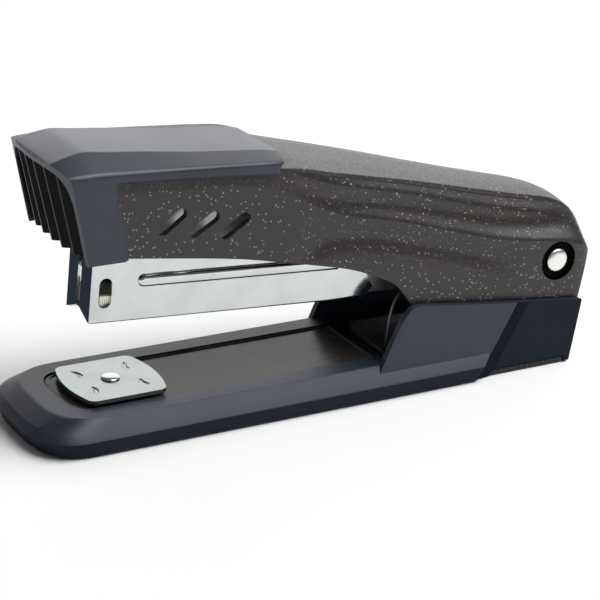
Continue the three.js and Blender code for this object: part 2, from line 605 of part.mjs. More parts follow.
function armGroup() {
  const group = new THREE.Group();
  const blade = new THREE.Group();
  blade.position.set(0, PIN.y, PIN.z);
  blade.rotation.x = rad(-MAGAZINE_PITCH - ARM_STROKE / 2);
  blade.add(piece("driver_blade", driverBlade(), SPRING_STEEL));
  const holder = prism("x", [[-53.5, 61.6], [-44.5, 60.6], [-44.5, 62.3], [-53.5, 62.8]], -5, 5);
  const rivet = [[0, 58.6], [2.3, 58.6], [2.3, 59.4], [1.3, 59.4], [1.3, 64.3], [2.4, 64.3], [1.6, 65.1], [0, 65.3]];
  group.add(
    piece("arm_cover", armCover(), PAINT),
    piece("arm_frame", armFrame(), ZINC),
    piece("nose_cap", noseCap(), SLATE),
    piece("nose_grille", noseGrille(), BLACK),
    blade,
    piece("driver_holder", cut(holder, driverHole(DRIVER_RIVET.y)), ZINC),
    piece("driver_rivet", turned(rivet, 0, DRIVER_RIVET.y, 16), NICKEL),
    piece("arm_spring", torsionSpring(-1, {
      first: [[-7.4, 40, 30.5], [-7.4, 52, 28], [-7.4, 62, 25]],
      last: [[-10, 64, 34.4], [-9.6, 52, 38], [-9, 40, 43.6]],
    }), SPRING_STEEL),
  );
  return group;
}

const stapler = new THREE.Group();
stapler.add(baseGroup(), magazineGroup(), armGroup());

export default stapler;
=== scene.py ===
"""Looks of a desk stapler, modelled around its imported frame.

Every sub-assembly is a class: its fields are sizes in millimetres, its methods build the pieces and dress
them. Pieces are shaped with editing operators, then stand in for the plain nodes of the frame.
"""

from __future__ import annotations

import json
import logging
import math
from collections.abc import Callable, Iterable, Sequence
from dataclasses import dataclass, field
from enum import Enum

import bmesh
import bpy
from mathutils import Matrix, Vector

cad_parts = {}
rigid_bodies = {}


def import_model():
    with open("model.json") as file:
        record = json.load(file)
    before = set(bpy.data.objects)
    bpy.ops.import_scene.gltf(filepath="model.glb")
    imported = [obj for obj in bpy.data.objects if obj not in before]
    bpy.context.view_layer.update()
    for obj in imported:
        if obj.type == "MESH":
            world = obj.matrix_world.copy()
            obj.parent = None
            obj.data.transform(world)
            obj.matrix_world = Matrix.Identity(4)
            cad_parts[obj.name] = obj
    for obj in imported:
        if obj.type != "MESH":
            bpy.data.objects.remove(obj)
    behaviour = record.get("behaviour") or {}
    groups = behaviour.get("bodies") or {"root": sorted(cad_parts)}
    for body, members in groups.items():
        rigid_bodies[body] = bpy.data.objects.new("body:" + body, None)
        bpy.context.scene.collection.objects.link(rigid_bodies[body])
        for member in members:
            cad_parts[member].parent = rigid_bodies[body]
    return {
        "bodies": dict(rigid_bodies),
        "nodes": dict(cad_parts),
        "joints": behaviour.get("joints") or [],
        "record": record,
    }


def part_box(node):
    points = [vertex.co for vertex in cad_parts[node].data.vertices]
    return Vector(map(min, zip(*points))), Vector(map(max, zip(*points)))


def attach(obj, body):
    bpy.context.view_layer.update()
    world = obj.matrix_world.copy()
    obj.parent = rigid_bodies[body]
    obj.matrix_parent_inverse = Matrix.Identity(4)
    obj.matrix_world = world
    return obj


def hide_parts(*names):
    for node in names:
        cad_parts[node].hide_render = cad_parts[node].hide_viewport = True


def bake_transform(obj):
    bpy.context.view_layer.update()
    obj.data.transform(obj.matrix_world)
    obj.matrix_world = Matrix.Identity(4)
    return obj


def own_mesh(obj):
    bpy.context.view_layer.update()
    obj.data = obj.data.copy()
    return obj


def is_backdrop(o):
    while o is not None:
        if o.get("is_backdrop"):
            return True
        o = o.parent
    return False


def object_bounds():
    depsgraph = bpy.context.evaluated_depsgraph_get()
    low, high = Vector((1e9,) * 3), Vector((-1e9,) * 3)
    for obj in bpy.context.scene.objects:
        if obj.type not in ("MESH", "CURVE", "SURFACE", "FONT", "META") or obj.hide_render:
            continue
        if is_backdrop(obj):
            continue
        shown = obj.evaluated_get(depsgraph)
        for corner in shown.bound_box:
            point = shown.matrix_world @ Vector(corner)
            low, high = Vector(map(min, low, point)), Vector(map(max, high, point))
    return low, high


log = logging.getLogger("stapler")

MM = 0.001
RING = "ring"

Point = Sequence[float]
Pair = tuple[float, float]
Triple = tuple[float, float, float]
Table = tuple[Point, ...]
FaceTest = Callable[[Vector, Vector], bool]
Socket = bpy.types.NodeSocket
Inputs = dict[str | int, object]


class Axis(Enum):
    """A direction that an outline is pushed along."""

    X = "x"
    Y = "y"
    Z = "z"

    def place(self, u: float, v: float, at: float) -> Triple:
        """Puts an outline's point (u, v) at its station along this axis."""
        return {"x": (at, u, v), "y": (u, at, v), "z": (u, v, at)}[self.value]


# ---------------------------------------------------------------- shaping


def only(*objects: bpy.types.Object) -> None:
    """Selects these objects alone and makes the first one active."""
    bpy.ops.object.select_all(action="DESELECT")
    for one in objects:
        one.select_set(True)
    bpy.context.view_layer.objects.active = objects[0]


def smoothstep(low: float, high: float, value: float) -> float:
    """Rises smoothly from 0 at low to 1 at high."""
    t = min(1.0, max(0.0, (value - low) / (high - low)))
    return t * t * (3 - 2 * t)


def along(table: Sequence[Point], at: float) -> float:
    """Reads a table of (place, value) rows with a monotone cubic between them.

    Args:
        table: rows in rising order of place.
        at: where to read; beyond the ends the end values hold.

    Returns:
        The value at that place.
    """
    if at <= table[0][0]:
        return table[0][1]
    if at >= table[-1][0]:
        return table[-1][1]
    i = max(k for k in range(len(table) - 1) if table[k][0] <= at)
    slopes = [(b[1] - a[1]) / (b[0] - a[0]) for a, b in zip(table, table[1:])]

    def tangent(k: int) -> float:
        if k in (0, len(table) - 1):
            return slopes[min(k, len(slopes) - 1)]
        before, after = slopes[k - 1], slopes[k]
        return 0.0 if before * after <= 0 else 2 * before * after / (before + after)

    (x0, y0), (x1, y1) = table[i], table[i + 1]
    span, t = x1 - x0, (at - x0) / (x1 - x0)
    return (
        (2 * t**3 - 3 * t**2 + 1) * y0
        + (t**3 - 2 * t**2 + t) * span * tangent(i)
        + (3 * t**2 - 2 * t**3) * y1
        + (t**3 - t**2) * span * tangent(i + 1)
    )


def arc(cu: float, cv: float, radius: float, start: float, end: float, steps: int) -> list[Pair]:
    """Points on an arc about (cu, cv), with its angles in degrees."""
    angles = (math.radians(start + (end - start) * i / steps) for i in range(steps + 1))
    return [(cu + radius * math.cos(a), cv + radius * math.sin(a)) for a in angles]


def mirrored(right: Sequence[Pair]) -> list[Pair]:
    """Adds the left half of an outline to its right half, which ends in the middle."""
    return [*right, *((-x, v) for x, v in reversed(right[:-1]))]


def level(outline: Iterable[Pair], z: float) -> list[Triple]:
    """Lifts a plan outline to a height."""
    return [(x, y, z) for x, y in outline]


def capsule(a: Point, b: Point, radius: float, steps: int = 10) -> list[Pair]:
    """Outline of a slot with round ends whose furthest points are a and b."""
    tilt = math.degrees(math.atan2(b[1] - a[1], b[0] - a[0]))
    cu, cv = radius * math.cos(math.radians(tilt)), radius * math.sin(math.radians(tilt))
    return arc(b[0] - cu, b[1] - cv, radius, tilt - 90, tilt + 90, steps) + arc(
        a[0] + cu, a[1] + cv, radius, tilt + 90, tilt + 270, steps
    )


class Form:
    """A mesh in the making, shaped with editing operators; its sizes are given in millimetres."""

    def __init__(self, obj: bpy.types.Object) -> None:
        """Takes up an object that is already in the scene."""
        self.obj = obj

    @classmethod
    def ring(cls, name: str, points: Sequence[Point]) -> Form:
        """Starts a skin from a filled circle moved to an outline.

        Args:
            name: name of the piece.
            points: the outline's corners, in order.

        Returns:
            The form, in edit mode with the outline's face selected.
        """
        bpy.ops.object.select_all(action="DESELECT")
        bpy.ops.mesh.primitive_circle_add(vertices=len(points), radius=MM, fill_type="NGON")
        form = cls(bpy.context.active_object)
        form.obj.name = form.obj.data.name = name
        bpy.ops.object.mode_set(mode="EDIT")
        mesh = bmesh.from_edit_mesh(form.obj.data)
        mark = mesh.verts.layers.int.new(RING)
        for vertex in mesh.verts:
            vertex[mark] = vertex.index
        form._place(points)
        return form

    def _place(self, points: Sequence[Point]) -> None:
        """Moves the selected ring's corners to their places."""
        mesh = bmesh.from_edit_mesh(self.obj.data)
        mark = mesh.verts.layers.int[RING]
        for vertex in mesh.verts:
            if vertex.select:
                vertex.co = Vector(points[vertex[mark]]) * MM
        bmesh.update_edit_mesh(self.obj.data)

    def extend(self, points: Sequence[Point]) -> None:
        """Extrudes the selected face and moves the new ring's corners to their places."""
        bpy.ops.mesh.extrude_region_move()
        self._place(points)

    def close(self) -> Form:
        """Leaves edit mode with the faces pointing outwards."""
        bpy.ops.mesh.select_all(action="SELECT")
        bpy.ops.mesh.remove_doubles(threshold=MM * 1e-3)
        bpy.ops.mesh.normals_make_consistent(inside=False)
        bpy.ops.object.mode_set(mode="OBJECT")
        mark = self.obj.data.attributes.get(RING)
        if mark:
            self.obj.data.attributes.remove(mark)
        return self

    @classmethod
    def skin(cls, name: str, rings: Sequence[Sequence[Point]]) -> Form:
        """Skins a row of outlines that have equal numbers of corners."""
        form = cls.ring(name, rings[0])
        for points in rings[1:]:
            form.extend(points)
        return form.close()

    @classmethod
    def prism(cls, name: str, axis: Axis, outline: Sequence[Point], start: float, end: float) -> Form:
        """Pushes an outline along an axis from start to end."""
        return cls.skin(name, [[axis.place(u, v, at) for u, v in outline] for at in (start, end)])

    @classmethod
    def across(cls, name: str, outline: Sequence[Point], reach: float = 30) -> Form:
        """Pushes a side view through the whole width."""
        return cls.prism(name, Axis.X, outline, -reach, reach)

    @classmethod
    def turned(cls, name: str, axis: Axis, centre: Point, profile: Sequence[Point], sides: int = 48) -> Form:
        """Turns a profile of (radius, height) rows about an axis.

        Args:
            name: name of the piece.
            axis: the turning axis.
            centre: the two coordinates across the axis.
            profile: radius and place along the axis, from one end to the other.
            sides: number of facets around.

        Returns:
            The closed form.
        """
        rings = []
        for radius, at in profile:
            circle = arc(centre[0], centre[1], radius, 0, 360 * (sides - 1) / sides, sides - 1)
            rings.append([axis.place(u, v, at) for u, v in circle])
        return cls.skin(name, rings)

    @classmethod
    def block(cls, name: str, low: Point, high: Point) -> Form:
        """Starts from a cube stretched between two corners."""
        bpy.ops.object.select_all(action="DESELECT")
        centre = [(a + b) / 2 * MM for a, b in zip(low, high)]
        size = [(b - a) * MM for a, b in zip(low, high)]
        bpy.ops.mesh.primitive_cube_add(size=1, location=centre, scale=size)
        form = cls(bpy.context.active_object)
        form.obj.name = form.obj.data.name = name
        bpy.ops.object.transform_apply(location=True, rotation=True, scale=True)
        return form

    @classmethod
    def wire(cls, name: str, points: Iterable[Point], radius: float, sides: int = 3) -> Form:
        """Draws a round wire through points and turns it into a closed mesh."""
        curve = bpy.data.curves.new(name, "CURVE")
        curve.dimensions = "3D"
        curve.bevel_depth, curve.bevel_resolution, curve.use_fill_caps = radius * MM, sides, True
        rows = [Vector(p) * MM for p in points]
        spline = curve.splines.new("POLY")
        spline.points.add(len(rows) - 1)
        for point, place in zip(spline.points, rows):
            point.co = (*place, 1)
        obj = bpy.data.objects.new(name, curve)
        bpy.context.collection.objects.link(obj)
        only(obj)
        bpy.ops.object.convert(target="MESH")
        form = cls(bpy.context.active_object)
        bpy.ops.object.mode_set(mode="EDIT")
        return form.close()

    @classmethod
    def copy_of(cls, name: str, node: bpy.types.Object) -> Form:
        """Copies a node of the frame, merged into one connected mesh."""
        obj = bpy.data.objects.new(name, node.data.copy())
        bpy.context.collection.objects.link(obj)
        obj.data.name = name
        obj.data.materials.clear()
        only(obj)
        bpy.ops.object.mode_set(mode="EDIT")
        bpy.ops.mesh.select_all(action="SELECT")
        bpy.ops.mesh.remove_doubles(threshold=MM * 2e-3)
        bpy.ops.mesh.dissolve_limited(angle_limit=math.radians(1))
        bpy.ops.object.mode_set(mode="OBJECT")
        return cls(obj)

    def modify(self, kind: str, **settings: object) -> Form:
        """Adds a modifier with these settings and applies it."""
        only(self.obj)
        modifier = self.obj.modifiers.new(kind.title(), kind)
        for key, value in settings.items():
            setattr(modifier, key, value)
        bpy.ops.object.modifier_apply(modifier=modifier.name)
        return self

    def _boolean(self, operation: str, others: Iterable[Form]) -> Form:
        """Joins or cuts with other forms, which are used up."""
        for other in others:
            self.modify("BOOLEAN", operation=operation, object=other.obj, solver="EXACT")
            bpy.data.objects.remove(other.obj, do_unlink=True)
        return self

    def cut(self, *others: Form) -> Form:
        """Cuts other forms away."""
        return self._boolean("DIFFERENCE", others)

    def join(self, *others: Form) -> Form:
        """Joins other forms on."""
        return self._boolean("UNION", others)

    def keep(self, *others: Form) -> Form:
        """Keeps only what lies within other forms."""
        return self._boolean("INTERSECT", others)

    def round(self, width: float, segments: int = 3, angle: float = 32) -> Form:
        """Rounds every edge sharper than an angle in degrees."""
        only(self.obj)
        bpy.ops.object.mode_set(mode="EDIT")
        bpy.ops.mesh.select_all(action="SELECT")
        bpy.ops.mesh.remove_doubles(threshold=MM * 5e-3)
        bpy.ops.mesh.dissolve_degenerate(threshold=MM * 5e-3)
        bpy.ops.object.mode_set(mode="OBJECT")
        return self.modify(
            "BEVEL", width=width * MM, segments=segments, limit_method="ANGLE",
            angle_limit=math.radians(angle), miter_outer="MITER_ARC",
        )

    def bevel_edges(self, width: float, segments: int, chosen: FaceTest) -> Form:
        """Rounds the edges whose two ends, in millimetres, pass a test."""
        only(self.obj)
        bpy.ops.object.mode_set(mode="EDIT")
        bpy.ops.mesh.select_mode(type="EDGE")
        bpy.ops.mesh.select_all(action="DESELECT")
        mesh = bmesh.from_edit_mesh(self.obj.data)
        for edge in mesh.edges:
            a, b = (vertex.co / MM for vertex in edge.verts)
            edge.select_set(chosen(a, b))
        bmesh.update_edit_mesh(self.obj.data)
        bpy.ops.mesh.bevel(offset=width * MM, segments=segments)
        bpy.ops.object.mode_set(mode="OBJECT")
        return self

    def shade(self, angle: float = 35, weighted: bool = True) -> Form:
        """Shades smoothly up to an angle, and keeps flat faces flat beside their rounded edges."""
        only(self.obj)
        bpy.ops.object.shade_smooth_by_angle(angle=math.radians(angle))
        if weighted:
            self.modify("WEIGHTED_NORMAL", keep_sharp=True, weight=70)
        return self

    def move(self, matrix: Matrix) -> Form:
        """Moves the mesh, and leaves the object at the origin."""
        only(self.obj)
        self.obj.matrix_world = matrix
        bpy.ops.object.transform_apply(location=True, rotation=True, scale=True)
        return self


# ---------------------------------------------------------------- finishes


class Recipe:
    """A material's node tree, built one node at a time around a Principled surface."""

    def __init__(self, name: str) -> None:
        """Starts an empty material with a surface and an output."""
        self.material = bpy.data.materials.new(name)
        self.material.use_nodes = True
        self.tree = self.material.node_tree
        self.surface = self.tree.nodes["Principled BSDF"]

    def node(self, kind: str, inputs: Inputs | None = None, **settings: object) -> bpy.types.Node:
        """Adds a node.

        Args:
            kind: the node's type name after "ShaderNode".
            inputs: values or sockets for its inputs, by name or number.
            settings: its other settings.

        Returns:
            The new node.
        """
        node = self.tree.nodes.new("ShaderNode" + kind)
        for key, value in settings.items():
            setattr(node, key, value)
        self.feed(node, inputs or {})
        return node

    def feed(self, node: bpy.types.Node, inputs: Inputs) -> None:
        """Sets a node's inputs: a socket is linked, and any other value is set."""
        for key, value in inputs.items():
            if isinstance(value, Socket):
                self.tree.links.new(value, node.inputs[key])
            else:
                node.inputs[key].default_value = value

    def place(self) -> Socket:
        """Coordinates fixed to the piece, in metres."""
        return self.node("TexCoord").outputs["Object"]

    def noise(self, where: Socket, per_mm: float, detail: float = 3, roughness: float = 0.5) -> Socket:
        """Fractal noise with this many features in a millimetre."""
        inputs = {"Vector": where, "Scale": per_mm / MM, "Detail": detail, "Roughness": roughness}
        return self.node("TexNoise", inputs).outputs["Fac"]

    def ramp(self, value: Socket, low: float, high: float, to_low: float = 0,
             to_high: float = 1) -> Socket:
        """Maps a range of values onto another, held at its ends."""
        inputs = {0: value, 1: low, 2: high, 3: to_low, 4: to_high}
        return self.node("MapRange", inputs, clamp=True).outputs[0]

    def mix(self, amount: object, first: object, second: object, how: str = "MIX") -> Socket:
        """Mixes two colours."""
        inputs = {0: amount, 6: first, 7: second}
        return self.node("Mix", inputs, data_type="RGBA", blend_type=how).outputs[2]

    def stretched(self, scale: Point) -> Socket:
        """Coordinates fixed to the piece, scaled along each axis."""
        return self.node("Mapping", {"Vector": self.place(), "Scale": scale}).outputs[0]

    def bump(self, height: Socket, depth: float, below: Socket | None = None) -> Socket:
        """A bump of this depth in millimetres, on top of another."""
        inputs: Inputs = {"Height": height, "Strength": 1.0, "Distance": depth * MM}
        if below:
            inputs["Normal"] = below
        return self.node("Bump", inputs).outputs["Normal"]


Colour = Triple


def rgba(colour: Colour, factor: float = 1.0, lift: float = 0.0) -> tuple[float, float, float, float]:
    """A colour with full alpha, made lighter or darker by a factor and a lift."""
    red, green, blue = (min(1.0, c * factor + lift) for c in colour)
    return (red, green, blue, 1.0)


@dataclass(frozen=True)
class Finish:
    """What every finish has: the record's material slot and a name."""

    slot: str
    name: str

    def recipe(self) -> Recipe:
        """Builds the node tree."""
        raise NotImplementedError

    def material(self) -> bpy.types.Material:
        """The finish's material, made once."""
        return bpy.data.materials.get(self.name) or self.recipe().material


@dataclass(frozen=True)
class Moulded(Finish):
    """Satin moulded plastic with a fine eroded grain."""

    colour: Colour = (0.1, 0.1, 0.1)
    roughness: float = 0.5
    grain: float = 0.012
    per_mm: float = 2.6
    gloss: float = 0.5

    def recipe(self) -> Recipe:
        """Grain as bump and as specks in the colour, a faint cloud in the colour, and roughness that follows
        the grain.
        """
        made = Recipe(self.name)
        where = made.place()
        grain = made.noise(where, self.per_mm, 4, roughness=0.62)
        cloud = made.noise(where, 0.05, 2)
        tone = made.mix(made.ramp(cloud, 0.35, 0.65), rgba(self.colour, 0.86), rgba(self.colour, 1.18))
        speck = made.mix(made.ramp(grain, 0.5, 0.72, 0, 0.35), tone, rgba(self.colour, 1.5, 0.01))
        rough = made.ramp(grain, 0.3, 0.7, self.roughness - 0.06, self.roughness + 0.08)
        made.feed(made.surface, {
            "Base Color": speck, "Roughness": rough, "Specular IOR Level": self.gloss,
            "Normal": made.bump(grain, self.grain),
        })
        return made


@dataclass(frozen=True)
class FlakePaint(Finish):
    """Dark paint full of metallic flakes, under a clear coat."""

    ground: Colour = (0.015, 0.0125, 0.0115)
    flake: Colour = (1.0, 0.88, 0.74)
    flakes_per_mm: float = 1.6
    sizes: tuple[Triple, ...] = ((1.0, 0.92, 0.26), (1.6, 0.86, 0.12))
    coat: float = 0.15

    def recipe(self) -> Recipe:
        """Flakes over a dark ground with orange peel.

        Each row of sizes has a scale, the share of cells that stay empty, and how strongly the others show.
        """
        made = Recipe(self.name)
        where = made.place()
        colour: object = rgba(self.ground)
        height = made.noise(where, 1.3, 2)
        shine = made.noise(where, 0.9, 2)
        for scale, empty, strength in self.sizes:
            cells = made.node("TexVoronoi", {"Vector": where, "Scale": self.flakes_per_mm * scale / MM})
            tint = made.node("SeparateColor", {"Color": cells.outputs["Color"]}).outputs["Red"]
            disc = made.ramp(cells.outputs["Distance"], 0.3, 0.4, 1, 0)
            shown = made.ramp(tint, empty, empty + 0.01, 0, strength)
            lit = made.node("Math", {0: disc, 1: shown}, operation="MULTIPLY")
            colour = made.mix(lit.outputs[0], colour, rgba(self.flake))
        cloud = made.ramp(made.noise(where, 0.04, 2), 0.3, 0.7, 0.85, 1.15)
        grey = made.node("CombineColor", {0: cloud, 1: cloud, 2: cloud}).outputs[0]
        colour = made.mix(1.0, colour, grey, "MULTIPLY")
        made.feed(made.surface, {
            "Base Color": colour, "Metallic": 0.0, "Roughness": made.ramp(shine, 0.3, 0.7, 0.38, 0.48),
            "Coat Weight": self.coat, "Coat Roughness": 0.2, "Normal": made.bump(height, 0.006),
        })
        return made


@dataclass(frozen=True)
class Plated(Finish):
    """Plated or bare steel: fine drawing lines, soft stains and a little haze."""

    colour: Colour = (0.8, 0.8, 0.8)
    roughness: float = 0.12
    lines: float = 0.0006
    spread: float = 0.05
    stretch: Triple = (1.0, 0.04, 1.0)

    def recipe(self) -> Recipe:
        """Drawing lines as bump and roughness, and a stain that shifts the colour."""
        made = Recipe(self.name)
        lines = made.noise(made.stretched(self.stretch), 6.0, 3)
        stain = made.noise(made.place(), 0.12, 3)
        smooth, dull = self.roughness - self.spread / 2, self.roughness + self.spread
        made.feed(made.surface, {
            "Base Color": made.mix(made.ramp(stain, 0.4, 0.7), rgba(self.colour), rgba(self.colour, 0.9)),
            "Metallic": 1.0, "Roughness": made.ramp(lines, 0.3, 0.7, smooth, dull),
            "Normal": made.bump(lines, self.lines),
        })
        return made


@dataclass(frozen=True)
class Polished(Finish):
    """Polished dark plastic with a faint waviness and hairline scuffs."""

    colour: Colour = (0.034, 0.032, 0.028)
    gloss: float = 0.16
    scuff_stretch: Triple = (1.0, 0.15, 1.0)

    def recipe(self) -> Recipe:
        """Waviness as bump, scuffs as roughness."""
        made = Recipe(self.name)
        scuffs = made.noise(made.stretched(self.scuff_stretch), 1.6, 5)
        wave = made.noise(made.place(), 0.08, 1)
        tone = made.mix(made.ramp(wave, 0.3, 0.7), rgba(self.colour), rgba(self.colour, 1.2))
        made.feed(made.surface, {
            "Base Color": tone, "Roughness": made.ramp(scuffs, 0.45, 0.75, 0.2, 0.32),
            "Specular IOR Level": self.gloss, "Normal": made.bump(wave, 0.03),
        })
        return made


@dataclass(frozen=True)
class Rubber(Finish):
    """Black rubber moulded with fine cross ribs."""

    colour: Colour = (0.018, 0.018, 0.02)
    dust: Colour = (0.07, 0.07, 0.068)
    ribs_per_mm: float = 0.18

    def recipe(self) -> Recipe:
        """Ribs across the sole, dust in the colour."""
        made = Recipe(self.name)
        where = made.place()
        waves = {"Vector": where, "Scale": self.ribs_per_mm / MM, "Distortion": 0.0}
        ribs = made.node("TexWave", waves, bands_direction="Y")
        dust = made.noise(where, 0.7, 4)
        tone = made.mix(made.ramp(dust, 0.5, 0.75, 0, 0.4), rgba(self.colour), rgba(self.dust))
        made.feed(made.surface, {
            "Base Color": tone, "Roughness": made.ramp(dust, 0.3, 0.7, 0.75, 0.92),
            "Normal": made.bump(ribs.outputs["Fac"], 0.25, made.bump(dust, 0.02)),
        })
        return made


EVEN = (1.0, 1.0, 1.0)
SLATE = Moulded("slate_plastic", "slate_moulding", (0.012, 0.0175, 0.034), 0.42, 0.016, 2.4)
# painted shade: a darker copy of the slate for the base's lower band and the side panels behind the facets
SLATE_PAINTED_SHADE_BAND = Moulded("slate_plastic", "slate_painted_shade_band", (0.005, 0.009, 0.018), 0.5, 0.016, 2.4, 0.12)
# painted shade: a near-black copy of the slate for the slanted facets
SLATE_PAINTED_DEEP_SHADE = Moulded("slate_plastic", "slate_painted_deep_shade", (0.001, 0.004, 0.01), 0.5, 0.016, 2.4, 0.06)
SLATE_CAP = Moulded("slate_plastic", "slate_cap_moulding", (0.022, 0.027, 0.039), 0.42, 0.014, 2.4)
# painted light: a lighter copy of the cap's slate for the top panel, where light falls from above
SLATE_PAINTED_LIGHT_PANEL = Moulded("slate_plastic", "slate_cap_painted_light_panel", (0.066, 0.072, 0.086), 0.34, 0.01, 2.4)
BLACK = Moulded("black_plastic", "black_moulding", (0.0015, 0.002, 0.003), 0.36, 0.006, 3.0, 0.1)
# painted shade: an unlit black for the wells around the pin's ends
PAINTED_SHADE_BLACK = Moulded("black_plastic", "painted_shade_black", (0.0008, 0.0008, 0.001), 0.7, 0.004, 3.0, 0.05)
PAINT = FlakePaint("flake_paint", "speckled_paint")
CHROME = Plated("chrome_steel", "bright_plate", (0.62, 0.65, 0.64), 0.1, 0.0005, 0.04)
ANVIL = Plated("chrome_steel", "ground_plate", (0.37, 0.4, 0.39), 0.22, 0.0008, 0.06)
# painted reflection: a dark blue coat that stands in for the dark surroundings reflected in the channel's
# front flanges
PAINTED_DARK_REFLECTION = Moulded("chrome_steel", "chrome_painted_dark_reflection", (0.006, 0.019, 0.04), 0.5, 0.002, 3.0, 0.04)
# painted light: a near-white copy of the zinc for the arm's inner frame, lifted to look lit in the shade
# behind the vents
ZINC_PAINTED_LIGHT = Plated("zinc_steel", "zinc_painted_light", (0.93, 0.93, 0.92), 0.45, 0.002, 0.1)
# painted shade: a darker copy of the spring wire for the return spring, in shade under the magazine
SPRING_WIRE_PAINTED_SHADE = Plated("spring_steel", "spring_wire_painted_shade", (0.2, 0.2, 0.2), 0.3, 0.001, 0.1, EVEN)
ZINC = Plated("zinc_steel", "zinc_plate", (0.56, 0.58, 0.6), 0.32, 0.002, 0.12)
NICKEL = Plated("nickel", "satin_nickel", (0.82, 0.81, 0.77), 0.3, 0.001, 0.1, EVEN)
STAPLE_WIRE = Plated("nickel", "staple_wire", (0.78, 0.74, 0.64), 0.22, 0.001, 0.08, EVEN)
WIRE = Plated("spring_steel", "spring_wire", (0.62, 0.64, 0.66), 0.22, 0.001, 0.1, EVEN)
TAUPE = Polished("gloss_taupe", "polished_taupe")
SOLE = Rubber("sole_rubber", "ribbed_rubber")


# ---------------------------------------------------------------- the frame


@dataclass
class Frame:
    """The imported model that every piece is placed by."""

    data: dict
    bodies: dict[str, str] = field(default_factory=dict)

    def __post_init__(self) -> None:
        """Notes the body of each node."""
        groups = self.data["record"]["behaviour"]["bodies"]
        self.bodies = {node: body for body, nodes in groups.items() for node in nodes}

    def box(self, node: str) -> tuple[Vector, Vector]:
        """The corners of a node, in millimetres."""
        low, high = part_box(node)
        return low / MM, high / MM

    def joint(self, name: str) -> dict:
        """A joint of the record, by name."""
        return next(j for j in self.data["record"]["behaviour"]["joints"] if j["name"] == name)

    def hinge(self) -> Vector:
        """The middle of the hinge pin, in millimetres."""
        low, high = self.box("pivot_pin")
        return (low + high) / 2

    def magazine_place(self) -> Matrix:
        """The magazine's own frame: at the hinge pin, tipped nose up."""
        slide = self.joint("pusher_slide")["axis"]
        tip = math.atan2(slide[2], slide[1])
        return Matrix.Translation(self.hinge() * MM) @ Matrix.Rotation(tip, 4, "X")

    def dress(self, form: Form, node: str, finish: Finish, *accents: tuple[Finish, FaceTest]) -> None:
        """Gives a form its finishes and lets it stand for a node.

        Args:
            form: the piece.
            node: the node that it stands for.
            finish: its main finish.
            accents: further finishes, each with a test of a face's middle, in millimetres, and normal.
        """
        obj = form.obj
        obj.data.materials.clear()
        obj.data.materials.append(finish.material())
        for number, (accent, chosen) in enumerate(accents, 1):
            obj.data.materials.append(accent.material())
            for face in obj.data.polygons:
                if chosen(face.center / MM, face.normal):
                    face.material_index = number
        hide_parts(node)
        log.info("%s: %d faces for %s", obj.name, len(obj.data.polygons), node)

    def install(self, form: Form, node: str, finish: Finish, *accents: tuple[Finish, FaceTest]) -> None:
        """Puts a finished form in a node's place, riding on that node's body; see dress."""
        self.dress(form, node, finish, *accents)
        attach(form.obj, self.bodies[node])

    def refine(self, node: str, finish: Finish, width: float = 0.15) -> None:
        """Stands a copy with broken edges in for a plain inner node."""
        form = Form.copy_of(node + "_part", self.data["nodes"][node]).round(width, 2, 40).shade(40)
        self.install(form, node, finish)


# ---------------------------------------------------------------- outlines and paths


def filleted(corners: Sequence[Point], steps: int = 5) -> list[Pair]:
    """Rounds an outline's corners.

    Args:
        corners: rows of (u, v, reach), reach being how far the rounding runs along both sides.
        steps: facets in each rounding; every rounded corner gives steps + 1 points.

    Returns:
        The outline's points.
    """
    points: list[Pair] = []
    count = len(corners)
    for i, (u, v, reach) in enumerate(corners):
        here = Vector((u, v))
        if reach <= 0:
            points.append((u, v))
            continue
        ends = []
        for other in (corners[i - 1], corners[(i + 1) % count]):
            way = Vector(other[:2]) - here
            ends.append(here + way.normalized() * min(reach, way.length * 0.49))
        for k in range(steps + 1):
            t = k / steps
            spot = ends[0] * (1 - t) ** 2 + here * (2 * t * (1 - t)) + ends[1] * t**2
            points.append((spot.x, spot.y))
    return points


def spline(points: Sequence[Point], steps: int) -> list[Vector]:
    """A smooth curve through points, with this many steps between each two."""
    spots = [Vector(p) for p in points]
    padded = [2 * spots[0] - spots[1], *spots, 2 * spots[-1] - spots[-2]]
    path = []
    for a, b, c, d in zip(padded, padded[1:], padded[2:], padded[3:]):
        for k in range(steps):
            t = k / steps
            path.append(0.5 * (2 * b + (c - a) * t + (2 * a - 5 * b + 4 * c - d) * t**2
                               + (3 * b - a - 3 * c + d) * t**3))
    return [*path, spots[-1]]


def plan(half: float, front: float, rear: float, length: float, steps: int = 22) -> list[Pair]:
    """Plan outline whose front is half of a superellipse, anticlockwise from the rear right corner."""
    order = 2 / 3
    right = [(half, rear)]
    for i in range(steps + 1):
        angle = math.pi / 2 * i / steps
        right.append((half * math.cos(angle) ** order, front + length - length * math.sin(angle) ** order))
    right[-1] = (0.0, front)
    return mirrored(right)


@dataclass(frozen=True)
class Coil:
    """The turns of a torsion spring round the hinge pin, moving outwards along the pin."""

    start: float = 7.4
    rise: float = 0.95
    mean: float = 4.0
    phase: float = -100.0
    facets: int = 24
    wire: float = 0.4

    def points(self, hinge: Vector, side: int, turns: float) -> list[Triple]:
        """Points on the coil's middle line."""
        count = int(turns * self.facets)
        row = []
        for i in range(count + 1):
            angle = math.radians(self.phase - 360 * turns * i / count)
            out = side * (self.start + self.rise * turns * i / count)
            row.append((out, hinge[1] + self.mean * math.cos(angle), hinge[2] + self.mean * math.sin(angle)))
        return row


# ---------------------------------------------------------------- base


